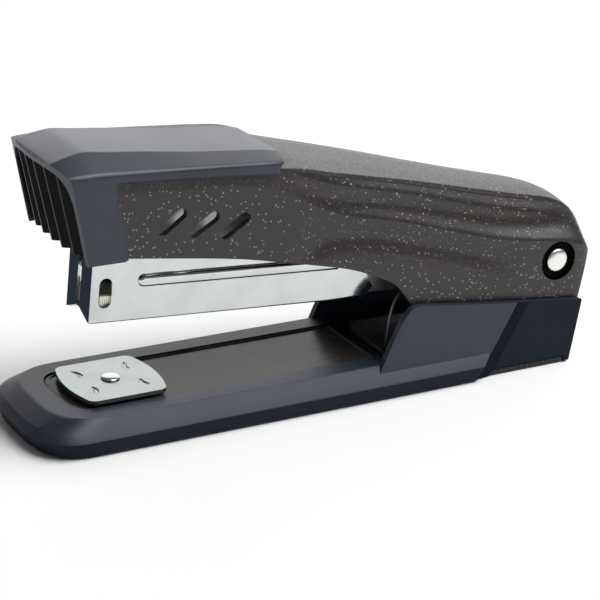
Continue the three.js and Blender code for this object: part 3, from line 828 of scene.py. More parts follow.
@dataclass
class Base:
    """Moulded base with a tray, a mat, a sole, a steel frame and the pin."""

    frame: Frame
    levels: tuple[Triple, ...] = (
        (0.5, 20.6, -80.9), (0.9, 20.98, -81.35), (4.2, 21.72, -82.62), (4.6, 21.8, -82.75),
        (5.0, 21.55, -82.55), (6.8, 20.2, -81.4), (8.9, 18.58, -77.1), (9.3, 18.3, -76.2),
    )
    nose_round: float = 15.0
    cheek_inner: float = 17.8
    cheek_outer: float = 19.7
    rear_half: float = 19.2
    tray_floor: float = 8.1
    facet_depth: float = 4.8
    facet_foot: float = 44.5
    facet_lean: float = 17 / 31
    # top of the lower band that gets the painted shade
    shade_band_top: float = 4.75
    rivet_y: float = -55.25
    screws: tuple[float, float] = (36, 56)
    coil: Coil = Coil()

    def rear(self, z: float) -> float:
        """The leaning rear face."""
        return 76.3 + 0.16 * z

    def shell(self) -> Form:
        """The moulding: rounded deck, cheeks, slanted facet, tray and hollow underside."""
        rings = [level(plan(half, front, self.rear(z), self.nose_round), z) for z, half, front in self.levels]
        shell = Form.skin("base_moulding", rings)
        side = filleted([
            (12.5, 5, 0), (14.5, 9.3, 3), (17.6, 16.5, 4), (20.6, 22.3, 2.5), (23.4, 25.2, 2.8),
            (50, 21.7, 10), (79.2, 18.5, 0.9), (77.1, 5, 0),
        ])
        for sign in (1, -1):
            shell.join(Form.prism("cheek", Axis.X, side, sign * self.cheek_inner, sign * self.cheek_outer))
        shell.cut(Form.block("cavity", (-self.cheek_inner, 17, 5), (self.cheek_inner, 74.6, 40)))
        shell.join(Form.block("back_wall", (-18.2, 74.4, 4), (18.2, self.rear(4), 12)))
        shell.cut(self._tray_cutter(), *self._facet_cutters(), *self._under_cutters())
        return shell.round(0.3, 2, 28).shade(30)

    def _tray_cutter(self) -> Form:
        """Rounded recess for the mat."""
        outline = plan(12.7, -70.9, 18, 8, 14)
        return Form.skin("tray", [level(outline, z) for z in (self.tray_floor, 12)])

    def _facet_cutters(self) -> list[Form]:
        """Cuts the sides back behind a slanted facet."""
        cutters = []
        low, high, behind = -1, 30, 90
        for sign in (1, -1):
            rings = []
            for x, shift in ((self.rear_half - 0.15, self.facet_depth), (19.75, -0.2), (22.5, -2.0)):
                foot, head = self.facet_at(low) + shift, self.facet_at(high) + shift
                outline = [(foot, low), (behind, low), (behind, high), (head, high)]
                rings.append([(sign * x, y, z) for y, z in outline])
            cutters.append(Form.skin("facet", rings))
        return cutters

    def _under_cutters(self) -> list[Form]:
        """Hollow underside, sole seat, and the holes of the rivet and the screws."""
        deck = [level(plan(18.3, -76.6 + z * 0.4, 14.5, 12, 10), z) for z in (0, 6.3)]
        seat = [level(plan(19.1, -79.4, 74.6, self.nose_round, 14), z) for z in (0, 2.1)]
        holes = [Form.turned("hole", Axis.Z, (0, y), ((1.8, 0), (1.8, 6)), 24) for y in self.screws]
        rivet = Form.turned("rivet_hole", Axis.Z, (0, self.rivet_y), ((2.4, 0), (2.4, 12)), 24)
        return [Form.skin("deck", deck), Form.block("rear_hollow", (-17, 16.5, 0), (17, 73.5, 3.2)),
                Form.skin("seat", seat), rivet, *holes]

    def is_painted_shade_band(self, middle: Vector, normal: Vector) -> bool:
        """Tells the lower band, the slanted facets and the panels behind them, which get a darker copy of the
        slate as painted shade.
        """
        behind = middle.y > self.facet_at(middle.z) and abs(middle.x) > self.rear_half - 0.3
        return behind or (middle.z < self.shade_band_top and normal.z < 0.3)

    def facet_at(self, z: float) -> float:
        """Where the slanted facet starts at a height."""
        return self.facet_foot + (z + 1) * self.facet_lean

    def is_painted_deep_shade_facet(self, middle: Vector, normal: Vector) -> bool:
        """Tells the slanted facet on each side, which gets a still darker copy of the slate as painted shade.
        """
        into = middle.y - self.facet_at(middle.z)
        outer = abs(middle.x) > self.rear_half - 0.1
        return outer and -2.2 < into < self.facet_depth and abs(normal.y) > 0.05

    def mat(self) -> Form:
        """Polished mat with a raised rim, open around the anvil's rivet."""
        outline = plan(12.4, -70.6, 16.6, 8, 20)
        inner = plan(11.9, -70.0, 16.1, 7.7, 20)
        floor = plan(11.6, -69.6, 15.8, 7.5, 20)
        rings = [level(o, z) for o, z in ((outline, 8.2), (outline, 8.95), (inner, 9.0), (floor, 8.62))]
        mat = Form.skin("glossy_mat", rings)
        mat.cut(Form.turned("bore", Axis.Z, (0, self.rivet_y), ((3, 0), (3, 12)), 32))
        return mat.round(0.06, 2, 40).shade(30)

    def sole(self) -> Form:
        """Rubber sole with a chamfered foot and two screw wells."""
        rings = [level(plan(18.8 - inset, -79.1 + inset, 74.3 - inset, self.nose_round, 16), z)
                 for z, inset in ((0, 0.5), (0.4, 0.0), (1.8, 0.0))]
        sole = Form.skin("rubber_sole", rings)
        well = ((4.4, -1), (4.4, 0.45), (3.9, 0.9))
        wells = [Form.turned("well", Axis.Z, (0, y), well, 32) for y in self.screws]
        ring = [level(plan(15.2, -74.5, 24, 12, 12), z) for z in (-1, 0.35)]
        island = [level(plan(14.2, -73.2, 22.8, 11.5, 12), z) for z in (-2, 2)]
        groove = Form.skin("groove", ring).cut(Form.skin("island", island))
        return sole.cut(groove, *wells).round(0.12, 2, 40).shade(30)

    def pin(self) -> Form:
        """Headed pin with a shallow dome at each end."""
        head = [
            (0.9, -17.5), (2.1, -17.42), (2.9, -17.22), (3.25, -16.95), (3.3, -16.75), (3.3, -16.6),
            (2.4, -16.6),
        ]
        profile = head + [(r, -x) for r, x in reversed(head)]
        return Form.turned("domed_pin", Axis.X, self.frame.hinge().yz, profile, 64).shade(40)

    def washer(self, sign: int) -> Form:
        """Washer with rounded rims."""
        hinge = self.frame.hinge().yz
        name = "washer_right" if sign > 0 else "washer_left"
        outer = [(4.7, 13.9), (5.0, 14.15), (5.0, 14.85), (4.7, 15.1)]
        washer = Form.turned(name, Axis.X, hinge, [(r, sign * x) for r, x in outer], 48)
        bore = Form.turned("bore", Axis.X, hinge, [(2.7, sign * 10), (2.7, sign * 18)], 32)
        return washer.cut(bore).shade(40)

    def spring(self) -> Form:
        """Return spring: a leg on the floor, a coil on the pin and a leg that bends under the magazine."""
        path = [(7.4, 30, 8.2), (7.4, 46, 14), (7.4, 62, 23.5)]
        path += self.coil.points(self.frame.hinge(), 1, 3)
        path += [(10, 62, 25.5), (9.6, 46, 25.8), (9, 30, 26.3)]
        path += [(8.8, 25, 24), (8.8, 22.8, 18), (8.8, 21.5, 6)]
        return Form.wire("return_spring_wire", spline(path, 3), self.coil.wire).shade(60, False)

    def anvil(self) -> Form:
        """Pressed anvil with bowed ends and four curved forming grooves."""
        half, front, rear, bow, low, top = 11.8, -65.5, -45.0, 2.2, 9.7, 10.8
        steps = 14
        spread = [1 - 2 * i / steps for i in range(steps + 1)]
        outline = [(half * s, front - bow * (1 - s * s)) for s in spread]
        outline += [(-half * s, rear + bow * (1 - s * s)) for s in spread]
        plate = Form.skin("forming_anvil", [level(outline, z) for z in (low, top)])
        plate.bevel_edges(1.6, 5, lambda a, b: abs(a.z - b.z) > 1 and abs(abs(a.x) - half) < 0.05)
        path = ((3.1, 6.4, 1.2), (3.4, 6.6, 0.35), (5.2, 6.4, 0.1), (7.2, 7.2, 0.25), (8.8, 8.4, 1.0))
        for end in (-1, 1):
            for side in (-1, 1):
                spots = [(side * x, self.rivet_y + end * y, top + 0.45 + z) for x, y, z in path]
                plate.cut(Form.wire("groove", spline(spots, 5), 0.95, 4))
        plate.cut(Form.turned("bore", Axis.Z, (0, self.rivet_y), ((1.9, 0), (1.9, 14)), 32))
        return plate.round(0.14, 3, 42).shade(35)

    def rivet(self) -> Form:
        """Anvil rivet with a shallow domed head."""
        profile = [(3.0, 4.2), (3.2, 4.35), (3.2, 4.9), (1.75, 4.9), (1.75, 10.88), (2.4, 10.9), (2.5, 11.02),
                   (2.3, 11.32), (1.7, 11.52), (0.9, 11.6)]
        return Form.turned("anvil_rivet_head", Axis.Z, (0, self.rivet_y), profile, 40).shade(45)

    def screw(self, name: str, y: float) -> Form:
        """Pan-head screw with a cross recess and a pointed end."""
        head = [
            (1.2, 2.15), (2.3, 2.2), (2.75, 2.5), (2.8, 2.9), (2.6, 3.1), (1.5, 3.1), (1.5, 7.7), (0.5, 8.35),
        ]
        screw = Form.turned(name, Axis.Z, (0, y), head, 32)
        for a, b in ((1.5, 0.3), (0.3, 1.5)):
            screw.cut(Form.block("cross", (-a, y - b, 1), (a, y + b, 2.75)))
        return screw.shade(40)

    def build(self) -> None:
        """Models the base and puts every piece in its node's place."""
        put = self.frame.install
        # the lower band, the rear side panels and the facets get darker copies of the slate as painted shade
        put(self.shell(), "base_shell", SLATE, (SLATE_PAINTED_SHADE_BAND, self.is_painted_shade_band), (SLATE_PAINTED_DEEP_SHADE, self.is_painted_deep_shade_facet))
        put(self.mat(), "tray_mat", TAUPE)
        put(self.sole(), "sole_pad", SOLE)
        put(self.pin(), "pivot_pin", NICKEL)
        put(self.washer(1), "pivot_spacer_right", BLACK)
        put(self.washer(-1), "pivot_spacer_left", BLACK)
        put(self.anvil(), "anvil_plate", ANVIL)
        put(self.rivet(), "anvil_rivet", NICKEL)
        for end, y in zip(("front", "rear"), self.screws):
            put(self.screw(end + "_screw", y), "base_screw_" + end, ZINC)
        self.frame.refine("base_frame", ZINC)
        self.frame.refine("anvil_spring", WIRE, 0.05)
        spring = self.spring()
        # the return spring gets a darker copy of the spring wire as painted shade
        self.frame.dress(spring, "return_spring", SPRING_WIRE_PAINTED_SHADE)
        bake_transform(spring.obj)


# ---------------------------------------------------------------- magazine


@dataclass
class Magazine:
    """Bright channel with its staples, follower and tail; modelled in its own frame at the hinge."""

    frame: Frame
    half: float = 7.3
    wall: float = 0.8
    floor: float = -9.65
    top: float = 11.5
    front_top: float = 14.0
    front: float = -135.3
    rear: float = -53.0
    bend: float = 1.1
    staple_half: float = 6.35
    staple_wire: float = 0.5
    staple_pitch: float = 0.5
    staple_front: float = -132.4
    staple_count: int = 54
    rod_z: float = -6.0
    spring_end: float = -63.4
    rivet_place: Pair = (-66, 5.6)
    follower_front: float = -105.2

    def channel(self) -> Form:
        """Folded channel: rounded bends, slotted front, windows and a raised rib on each side."""
        half, wall, floor, front = self.half, self.wall, self.floor, self.front
        high = self.front_top + 4
        skin = self._trough("bright_channel", 0, high)
        plan_view = filleted([(half, self.rear, 0), (half, front, self.bend), (-half, front, self.bend),
                              (-half, self.rear, 0)], 6)
        skin.keep(Form.skin("plan", [level(plan_view, z) for z in (floor - 1, high + 1)]))
        skin.cut(self._trough("inside", wall, high + 3), Form.across("profile", self._waste(), 12))
        skin.cut(Form.block("slot", (-1, front - 1, floor - 1), (1, front + wall + 0.4, high)),
                 Form.prism("heel", Axis.Y, self._heel(), front - 1, front + wall + 0.3),
                 Form.block("exit", (-6.4, front + wall + 0.1, floor - 1), (6.4, -132.2, floor + wall + 0.3)))
        window = arc(-131.4, 0.6, 1.75, 0, 180, 12) + arc(-131.4, -3.8, 1.75, 180, 360, 12)
        skin.cut(Form.across("window", window, 12))
        for sign in (1, -1):
            skin.join(self._rib(sign))
        skin.cut(Form.turned("bore", Axis.X, self.rivet_place, ((1.6, -20), (1.6, 20)), 24))
        return skin.round(0.16, 3, 35).shade(30)

    def is_painted_reflection_front(self, middle: Vector, normal: Vector) -> bool:
        """Tells the forward-facing faces of the folded front flanges, which get a dark blue coat as a painted
        dark reflection.
        """
        return middle.y < -60 and normal.y < -0.9

    def _trough(self, name: str, inset: float, high: float) -> Form:
        """A long bar with rounded lower edges, drawn in by an inset."""
        half, floor, bend = self.half - inset, self.floor + inset, self.bend - inset * 0.8
        outline = filleted([(half, floor, bend), (half, high, 0), (-half, high, 0), (-half, floor, bend)], 6)
        rear = self.rear + (5 if inset else 0)
        return Form.prism(name, Axis.Y, outline, self.front + inset, rear)

    def _waste(self) -> list[Pair]:
        """What is cut off the top and the tail, seen from the side."""
        r, f = self.rear, self.front
        return filleted([
            (r - 3, self.floor - 2, 0), (r - 3, self.floor, 0.2), (r, self.floor + 3.2, 0.2),
            (r - 3, -1.8, 0.3), (r - 7.6, -1.2, 0.8), (r - 8.6, self.top, 0),
            (f + 2.4, self.top, 0.8), (f + 2.4, self.front_top, 0),
            (f - 2, self.front_top, 0), (f - 2, 30, 0), (r + 10, 30, 0), (r + 10, self.floor - 2, 0),
        ])

    def _heel(self) -> list[Pair]:
        """Slanted bottoms of the two front flanges."""
        half, floor = self.half + 1, self.floor
        return [
            (-half, floor - 1), (half, floor - 1), (half, floor - 0.4),
            (1, floor + 2.6), (-1, floor + 2.6), (-half, floor - 0.4),
        ]

    def _rib(self, sign: int) -> Form:
        """Raised rib with a round front and sloping flanks."""
        def outline(inset: float) -> list[Pair]:
            end = [(-64.5 - inset, -0.7 + inset), (-64.5 - inset, 2.8 - inset)]
            return arc(-121, 1.05, 1.75 - inset, 90, 270, 14) + end

        stations = [(self.half + x, inset) for x, inset in
                    ((-0.2, 0.0), (0.0, 0.0), (0.35, 0.1), (0.65, 0.36), (0.88, 0.75), (1.0, 1.2))]
        return Form.skin("rib", [[(sign * x, y, z) for y, z in outline(inset)] for x, inset in stations])

    def staples(self) -> Form:
        """A strip of separate wire staples."""
        half, wire, crown, foot = self.staple_half, self.staple_wire, -2.2, -8.5
        outline = filleted([
            (half, foot, 0), (half, crown, 0.6), (-half, crown, 0.6), (-half, foot, 0),
            (-half + wire, foot, 0), (-half + wire, crown - wire, 0.25), (half - wire, crown - wire, 0.25),
            (half - wire, foot, 0),
        ], 3)
        front = self.staple_front
        staple = Form.prism("staples", Axis.Y, outline, front, front + wire * 0.97).round(0.07, 1, 60)
        staple.modify("ARRAY", count=self.staple_count, use_relative_offset=False, use_constant_offset=True,
                      constant_offset_displace=(0, self.staple_pitch * MM, 0))
        return staple.shade(50, False)

    def rod(self) -> Form:
        """Guide rod with chamfered ends."""
        profile = [(0.6, -131.7), (0.9, -131.4), (0.9, -62.4), (0.6, -62.1)]
        return Form.turned("guide_rod", Axis.Y, (0, self.rod_z), profile, 24).shade(40)

    def coil_spring(self) -> Form:
        """Coil on the rod, with closed end turns."""
        start, end, turns, mean, facets = -98.6, self.spring_end, 15, 1.7, 18
        points = []
        for i in range(turns * facets + 1):
            t = i / (turns * facets)
            pitch = smoothstep(0, 1, t) * 0.12 + t * 0.88
            angle = 2 * math.pi * turns * t
            y = start + (end - start) * pitch
            points.append((mean * math.cos(angle), y, self.rod_z + mean * math.sin(angle)))
        return Form.wire("follower_spring", points, 0.28).shade(60, False)

    def rivet(self) -> Form:
        """Cross rivet with a domed head on each side."""
        head = [(0.8, -8.2), (1.6, -8.12), (2.1, -7.85), (2.2, -7.6), (2.2, -7.5), (1.3, -7.5)]
        profile = head + [(r, -x) for r, x in reversed(head)]
        return Form.turned("cross_rivet", Axis.X, self.rivet_place, profile, 32).shade(45)

    def follower(self) -> Form:
        """Moulded follower: a rounded head, a neck and a foot on the rod."""
        front = self.follower_front
        side = filleted([
            (front, -2.6, 0), (front + 7.7, -2.6, 0.6), (front + 7.7, 0.6, 0.8), (front + 6.2, 2.5, 1),
            (front + 1, 2.5, 0.7), (front, 1.5, 0.4),
        ], 4)
        body = Form.prism("follower", Axis.X, side, -6.1, 6.1)
        body.join(Form.block("neck", (-1, front + 2, -4.6), (1, front + 6, -2.3)),
                  Form.block("foot", (-2.4, front + 2, -8.3), (2.4, front + 6, -3.9)))
        for y in (front + 2.4, front + 4.4):
            body.cut(Form.block("relief", (-4.6, y, 1.7), (4.6, y + 1.1, 4)))
        body.cut(Form.turned("bore", Axis.Y, (0, self.rod_z), ((1.1, front - 1), (1.1, front + 9)), 24))
        return body.round(0.18, 2, 40).shade(35)

    def build(self) -> None:
        """Models the pieces in the magazine's frame and puts them in their nodes' places."""
        place = self.frame.magazine_place()
        put = self.frame.install
        # the front flanges get a dark coat as a painted dark reflection
        put(self.channel().move(place), "magazine_channel", CHROME, (PAINTED_DARK_REFLECTION, self.is_painted_reflection_front))
        put(self.staples().move(place), "staple_strip", STAPLE_WIRE)
        put(self.rod().move(place), "pusher_rod", ZINC)
        put(self.rivet().move(place), "magazine_rivet", NICKEL)
        put(self.follower().move(place), "pusher_block", BLACK)
        self.frame.refine("staple_rail", ZINC, 0.08)
        self.frame.refine("magazine_bracket", ZINC, 0.12)
        spring = self.coil_spring().move(place)
        put(spring, "pusher_spring", WIRE)
        slide = Vector(self.frame.joint("pusher_slide")["axis"])
        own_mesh(spring.obj)


# ---------------------------------------------------------------- arm


@dataclass
class Arm:
    """Painted cover over a steel channel, with the driver."""

    frame: Frame
    half: float = 17.4
    wall: float = 2.0
    crown: float = 0.9
    pitch: float = 2.5
    coil: Coil = Coil()
    top: Table = (
        (-66, 69.8), (-40, 68.7), (-16, 67.4), (0, 64), (12, 61.2), (24, 58.3), (36, 55.2), (50, 51.6),
        (62, 48.7), (70, 46.8), (75, 45.0), (79, 42.6), (81.6, 40), (82.75, 38.4),
    )
    edge: Table = (
        (-66, 17.1), (-40, 16.9), (-16, 16.5), (0, 16.1), (12, 15.1), (24, 13.8), (36, 12.6), (50, 11.6),
        (62, 10.8), (72, 9.8), (79, 9), (82.75, 8),
    )
    hip: Table = (
        (-66, 66), (-30, 64.5), (-16, 61), (-6, 55.5), (4, 52), (14, 49.8), (24, 47.2), (36, 43.6),
        (50, 39.6), (62, 37.4), (72, 36), (79, 34), (82.75, 31),
    )
    foot: Table = (
        (-66, 50.7), (-28.6, 45.2), (-11.3, 41.3), (3.7, 37.7), (13, 34), (18, 31.4), (21, 28.4), (23, 25.8),
        (26, 22), (32, 19.6), (60, 16.5), (72, 16.5), (82.75, 19),
    )
    valley: Table = (
        (-20, 40), (-12, 42.5), (-5, 45.8), (0, 47), (10, 46), (24, 42.5), (40, 37.8), (57, 32), (70, 30),
    )
    dent: float = 1.4
    well: float = 5.6
    well_floor: float = 16.3
    vent_radius: float = 1.5
    width: Table = ((-66, 17.4), (74, 17.4), (78.5, 17.3), (80.5, 17.0), (82, 16.2), (82.75, 15.2))
    vents: tuple[tuple[Point, Point], ...] = (
        ((-50.9, 54.8), (-43.5, 60.1)), ((-42.3, 53.3), (-34.4, 58.1)), ((-33.8, 51.6), (-25.8, 56.6)),
    )

    def section(self, y: float, wall: float, low: float) -> list[Triple]:
        """The cover's section at y, drawn in by a wall.

        Args:
            y: place along the arm.
            wall: how far it is drawn in.
            low: its lower edge.

        Returns:
            The outline, with rounded hips, rounded top edges and a crowned top.
        """
        half, top, edge, hip = (along(table, y) for table in (self.width, self.top, self.edge, self.hip))
        half, top = half - wall, top - wall
        edge = min(edge - wall * 0.8, half - 0.05)
        lean = smoothstep(-18, 8, y)
        valley = along(self.valley, y)
        dent = 0.0 if wall else self.dent * smoothstep(-16, -2, y) * (1 - smoothstep(49, 57, y))
        depth = 0.0 if wall else lean * (1 - smoothstep(68, 80, y))
        slope = Vector((edge - half, top - hip))
        out = Vector((-slope.y, slope.x)).normalized() * -depth

        def flute(share: float, rise: float, reach: float) -> Point:
            return (*(Vector((half, hip)) + slope * share + out * rise), reach * slope.length)

        outline = filleted([
            (half, low, 0), (half, valley - 5.5, 2), (half - dent, valley, 1.6),
            (half, hip - 1.2, 0.12 * slope.length),
            flute(0.02, 0.2, 0.1), flute(0.36, -1.3, 0.18), flute(0.68, 0.45, 0.12), flute(0.9, -0.85, 0.05),
            (edge, top - 0.3, 0.045 * slope.length), (edge * 0.4, top + self.crown * 0.85, 3),
            (0, top + self.crown, 0),
        ], 6)
        return [(x, y, z) for x, z in mirrored(outline)]

    def cover(self) -> Form:
        """The painted shell: a long loft, hollowed, trimmed and pierced."""
        hinge = self.frame.hinge().yz
        stations = [-66 + self.pitch * i for i in range(int(144 / self.pitch) + 1)]
        stations = [s for s in stations if s < 77] + [78, 79.5, 80.7, 81.6, 82.3, 82.75]
        outside = Form.skin("painted_cover", [self.section(y, 0, 8) for y in stations])
        inner = [-70, *[s for s in stations[1::2] if s < 79], 80.9]
        hollow = []
        for y in inner:
            hollow.append([(x, y, z) for x, _, z in self.section(max(y, -66), self.wall, 4)])
        inside = Form.skin("inside", hollow)
        foot = [(y, along(self.foot, y)) for y in [-66.1 + 1.5 * i for i in range(100)] if y < 82.75]
        below = [*foot, (90, 19), (90, 0), (-70, 0), (-70, 50.7)]
        outside.cut(inside, Form.across("below", below))
        slant = [(77.9, 13.5), (82.7, 36), (84.4, 44), (90, 44), (90, 13.5)]
        outside.cut(Form.across("slant", slant), Form.block("door", (-14.8, 76, 0), (14.8, 90, 33)))
        for a, b in self.vents:
            outside.cut(Form.across("vent", capsule(a, b, self.vent_radius)))
        for sign in (1, -1):
            well = [(self.well, sign * self.well_floor), (self.well, sign * 30)]
            outside.cut(Form.turned("well", Axis.X, hinge, well, 64))
        outside.cut(Form.turned("bore", Axis.X, hinge, ((2.7, -30), (2.7, 30)), 32))
        return outside.round(0.35, 3, 38).shade(32)

    def is_painted_shade_well(self, hinge: Vector) -> FaceTest:
        """A test for the faces of the wells around the pin's ends, which get an unlit black as painted shade.
        """
        def test(middle: Vector, normal: Vector) -> bool:
            return (middle - hinge).yz.length < self.well + 0.1 and abs(middle.x) < self.half - 0.4

        return test

    def blade(self) -> Form:
        """Copy of the driver blade with broken edges."""
        blade = Form.copy_of("driver_blade_part", self.frame.data["nodes"]["driver_blade"])
        return blade.round(0.08, 1, 40).shade(40)

    def spring(self) -> Form:
        """Arm spring: a leg on the magazine's tail, a coil on the pin and a leg under the arm."""
        path = [(-7.4, 40, 30.5), (-7.4, 52, 28), (-7.4, 62, 25)]
        path += self.coil.points(self.frame.hinge(), -1, 2.5)
        path += [(-10, 64, 34.4), (-9.6, 52, 38), (-9, 40, 43.6)]
        return Form.wire("arm_spring_wire", spline(path, 3), self.coil.wire).shade(60, False)

    def build(self) -> None:
        """Models the arm and puts every piece in its node's place."""
        put = self.frame.install
        # the wells around the pin get an unlit black as painted shade
        put(self.cover(), "arm_cover", PAINT, (PAINTED_SHADE_BLACK, self.is_painted_shade_well(self.frame.hinge())))
        put(self.blade(), "driver_blade", WIRE)
        # the inner frame gets a near-white zinc as painted light
        self.frame.refine("arm_frame", ZINC_PAINTED_LIGHT, 0.25)
        self.frame.refine("driver_holder", ZINC, 0.1)
        self.frame.refine("driver_rivet", NICKEL, 0.1)
        spring = self.spring()
        self.frame.dress(spring, "arm_spring", WIRE)
        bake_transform(spring.obj)


@dataclass
class Nose:
    """Moulded cap over the nose, and the black grille in its front."""

    frame: Frame
    arm: Arm
    half: float = 18.7
    inner: float = 17.7
    foot: float = 49.5
    lip: Table = (
        (-77.5, 71.4), (-75.2, 71.9), (-72, 72.1), (-68, 72.1), (-62, 71.9), (-20, 69.5), (-15, 68.9),
    )
    panel: Table = (
        (-77.5, 73.0), (-76.5, 73.6), (-75.2, 74.2), (-72, 75.1), (-68.6, 75.75), (-67.4, 75.8), (-62, 75.2),
        (-52, 74.2), (-38, 72.5), (-20, 70.9), (-15, 70.1),
    )
    width: Table = (
        (-77.6, 16.6), (-76, 17.9), (-74, 18.5), (-70, 18.7), (-50, 18.7), (-30, 18.4), (-20, 18.05),
        (-17.4, 17.6), (-16, 16.6), (-15.2, 14.5),
    )
    flat: float = 10.5
    crown: float = 0.2
    returns: tuple[Triple, ...] = ((16.2, 1.3, 1.1), (17.75, 1.3, 1.1), (19.0, -0.2, -0.1))
    grille_half: float = 17.25
    front_foot: float = 50.5
    front_height: float = 19.6
    rib_pitch: float = 5.8
    groove: float = 1.9

    def rise(self, z: float) -> float:
        """How far up the front a height is: 0 at its foot, 1 at its top."""
        return (z - self.front_foot) / self.front_height

    def front(self, z: float) -> float:
        """The leaning front, at its sides."""
        return -70.2 - 4.1 * self.rise(z)

    def bow(self, x: float, z: float) -> float:
        """How far the front stands out at x."""
        return (1.6 + 0.5 * self.rise(z)) * (1 - (x / self.grille_half) ** 2)

    def section(self, y: float) -> list[Triple]:
        """The cap's outer section at y, from the foot up over the crowned panel."""
        half, lip, panel = (along(table, y) for table in (self.width, self.lip, self.panel))
        panel -= self.crown
        outline = filleted([
            (half, self.foot, 0), (half, lip, 1.2), (self.flat, panel, 0.25), (0, panel + self.crown, 0),
        ])
        return [(x, y, z) for x, z in mirrored(outline)]

    def arch(self, inset: float = 0.0) -> list[Pair]:
        """The grille's opening, seen from the front."""
        side = self.grille_half + 0.15 - inset
        return filleted([
            (side, 40, 0), (side, 66.6, 4), (14.4, 71.1 - inset, 3), (8, 72.1 - inset, 4),
            (-8, 72.1 - inset, 4), (-14.4, 71.1 - inset, 3), (-side, 66.6, 4), (-side, 40, 0),
        ], 6)

    def cap(self) -> Form:
        """The cap: a lofted block, trimmed by its leaning front, its legs and the room for the arm."""
        stations = [-77.6, -77, -76.3, -75.5, -74.5, -73.2, -71.8, -70.2, -68.8, -68.2, -67.6, -66.5, -65]
        stations += [-62, -57, -52, -46, -40, -34, -28, -22, -19, -17.4, -16.6, -16, -15.5, -15.2]
        cap = Form.skin("moulded_cap", [self.section(y) for y in stations])
        cap.cut(self._front_cutter(), Form.prism("arch", Axis.Y, self.arch(), -90, -64))
        room = []
        for y in (-66.4, -50, -16, -12):
            roof = along(self.arm.top, max(y, -66)) + self.arm.crown + 0.35
            inner = self.inner
            arch = filleted([(inner, 40, 0), (inner, roof, 1.2), (-inner, roof, 1.2), (-inner, 40, 0)], 4)
            room.append([(x, y, z) for x, z in arch])
        cap.cut(Form.skin("room", room), *self._side_cutters())
        return cap.round(0.3, 3, 30).shade(32)

    def is_painted_light_panel(self, middle: Vector, normal: Vector) -> bool:
        """Tells the flat panel on top, which gets a lighter copy of the cap's slate as painted light from
        above.
        """
        return abs(middle.x) < self.flat + 0.2 and normal.z > 0.9 and middle.z > 69

    def _front_cutter(self) -> Form:
        """Everything in front of the leaning, bowed front."""
        rings = []
        steps = 24
        wide = self.half + 1
        for z in (45, 55, 62, 68, 72, 78):
            xs = [wide - wide * 2 * i / steps for i in range(steps + 1)]
            curve = [(x, self.front(z) - max(self.bow(x, z), -0.6)) for x in xs]
            rings.append(level([*curve, (-wide, -95), (wide, -95)], z))
        return Form.skin("front", rings)

    def _side_cutters(self) -> list[Form]:
        """Clears the sides behind the legs and below the lips, leaving a slanted return face."""
        cutters = []
        for sign in (1, -1):
            rings = []
            for x, back, drop in self.returns:
                outline = filleted([
                    (-60.0 + back, 44, 0), (-60.2 + back, 49.5, 0), (-62.7 + back, 63, 3),
                    (-63.7 + back, 70 - drop, 1.8), (-12, 67.0 - drop, 0), (-12, 44, 0),
                ], 6)
                rings.append([(sign * x, y, z) for y, z in outline])
            cutters.append(Form.skin("side", rings))
        return cutters

    def grille(self) -> Form:
        """Black insert: a leaning, bowed comb of narrow upright ribs under the cap's arch."""
        half = self.grille_half
        rings = []
        for z in (self.front_foot, 54, 58, 62, 66, 71.8):
            face = []
            for x, depth in self._comb(half):
                face.append((x, self.front(z) - self.bow(x, z) + 0.35 + depth))
            back = self.front(z) + 3.2
            rings.append(level([*face, (half, back), (-half, back)], z))
        grille = Form.skin("nose_comb", rings)
        grille.keep(Form.prism("keep", Axis.Y, self.arch(0.25), -90, -60))
        return grille.round(0.14, 2, 30).shade(35)

    def _comb(self, half: float) -> list[Pair]:
        """The comb's front in plan, as rows of x and depth below the face."""
        rows = [(-half, 0.0), (-half + 0.7, 0.0)]
        for i in range(-2, 3):
            rows += [(i * self.rib_pitch + x, depth) for x, depth in
                     ((-1.5, self.groove), (-0.35, 0.15), (0.35, 0.15), (1.5, self.groove))]
        rows += [(half - 0.7, 0.0), (half, 0.0)]
        rows.insert(2, (-half + 1.1, self.groove))
        rows.insert(-2, (half - 1.1, self.groove))
        return rows

    def build(self) -> None:
        """Models the nose and puts both pieces in their nodes' places."""
        # the top panel gets a lighter copy of the cap's slate as painted light
        self.frame.install(self.cap(), "nose_cap", SLATE_CAP, (SLATE_PAINTED_LIGHT_PANEL, self.is_painted_light_panel))
        self.frame.install(self.grille(), "nose_grille", BLACK)


# ---------------------------------------------------------------- studio


@dataclass(frozen=True)
class Card:
    """A rectangular light that faces a point; lengths in metres, power in watts."""

    name: str
    place: Triple
    aim: Triple
    size: Pair
    power: float


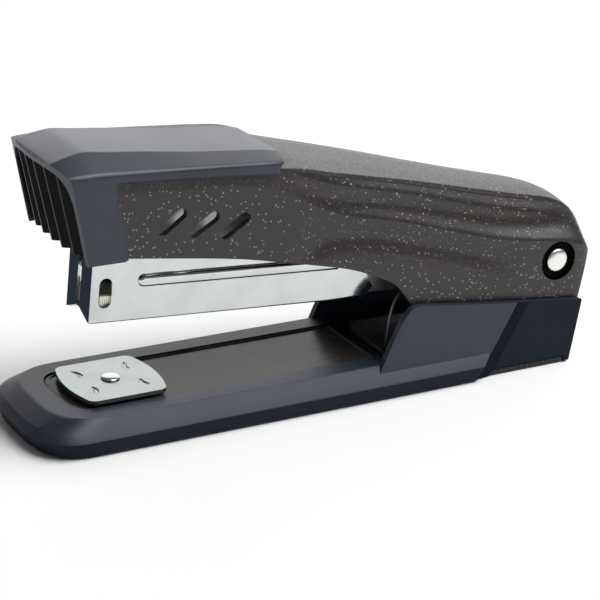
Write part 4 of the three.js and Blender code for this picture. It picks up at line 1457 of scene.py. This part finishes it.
@dataclass
class Studio:
    """Pale floor, soft lights and the camera."""

    stand: Triple = (441.439, -260.052, 224.726)
    azimuth: float = 59.517
    pitch: float = 21.445
    roll: float = 2.6
    lens: float = 124.4
    sensor: float = 36.0
    clip: Pair = (0.01, 20.0)
    sky_level: float = 0.13
    cards: tuple[Card, ...] = (
        Card("top", (0.6, 0.8, 1.9), (0, 0, 0), (1.7, 1.7), 56.0),
        Card("back", (-1.6, 1.0, 0.85), (0, 0, 0.05), (2.8, 1.6), 19.0),
    )

    def camera(self) -> None:
        """Sets the camera by its place, heading, pitch and roll."""
        data = bpy.data.cameras.new("camera")
        data.lens, data.sensor_width = self.lens, self.sensor
        data.clip_start, data.clip_end = self.clip
        a, e, r = (math.radians(v) for v in (self.azimuth, self.pitch, self.roll))
        ahead = Vector((-math.sin(a) * math.cos(e), math.cos(a) * math.cos(e), -math.sin(e)))
        right = ahead.cross(Vector((0, 0, 1))).normalized()
        up = right.cross(ahead)
        x = right * math.cos(r) + up * math.sin(r)
        y = up * math.cos(r) - right * math.sin(r)
        camera = bpy.data.objects.new("camera", data)
        turn = Matrix((x, y, -ahead)).transposed().to_4x4()
        camera.matrix_world = Matrix.Translation(Vector(self.stand) * MM) @ turn
        bpy.context.collection.objects.link(camera)
        bpy.context.scene.camera = camera

    def light(self, card: Card) -> None:
        """Hangs a light."""
        data = bpy.data.lights.new(card.name, "AREA")
        data.shape, data.energy = "RECTANGLE", card.power
        data.size, data.size_y = card.size
        lamp = bpy.data.objects.new(card.name, data)
        lamp.location = card.place
        lamp.rotation_euler = (Vector(card.aim) - Vector(card.place)).to_track_quat("-Z", "Y").to_euler()
        bpy.context.collection.objects.link(lamp)
        lamp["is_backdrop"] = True

    def floor(self) -> None:
        """A pale floor."""
        reach, depth = 3000, 6
        floor = Form.block("floor", (-reach, -reach, -depth), (reach, reach, 0))
        made = Recipe("pale_floor")
        cloud = made.noise(made.place(), 0.002, 2)
        tone = made.mix(cloud, (0.93, 0.93, 0.93, 1), (0.96, 0.96, 0.96, 1))
        made.feed(made.surface, {"Base Color": tone, "Roughness": 0.85, "Specular IOR Level": 0.2})
        floor.obj.data.materials.append(made.material)
        floor.obj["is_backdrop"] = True

    def sky(self) -> None:
        """An even, dim surround."""
        world = bpy.data.worlds.new("studio")
        world.use_nodes = True
        background = world.node_tree.nodes["Background"]
        background.inputs["Color"].default_value = (1, 1, 1, 1)
        background.inputs["Strength"].default_value = self.sky_level
        bpy.context.scene.world = world

    def build(self) -> None:
        """Sets the stage."""
        self.floor()
        self.sky()
        self.camera()
        for card in self.cards:
            self.light(card)
        scene = bpy.context.scene
        scene.view_settings.view_transform = "Standard"
        scene.view_settings.look = "None"


def corners() -> list[list[float]]:
    """The model's low and high corners, in metres."""
    return [list(corner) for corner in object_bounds()]


def main() -> None:
    """Builds the looks of the whole stapler."""
    logging.basicConfig(level=logging.INFO, format="%(relativeCreated)7d ms  %(message)s")
    frame = Frame(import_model())
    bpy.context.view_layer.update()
    arm = Arm(frame)
    Base(frame).build()
    Magazine(frame).build()
    arm.build()
    Nose(frame, arm).build()
    Studio().build()


if __name__ == "__main__":
    main()
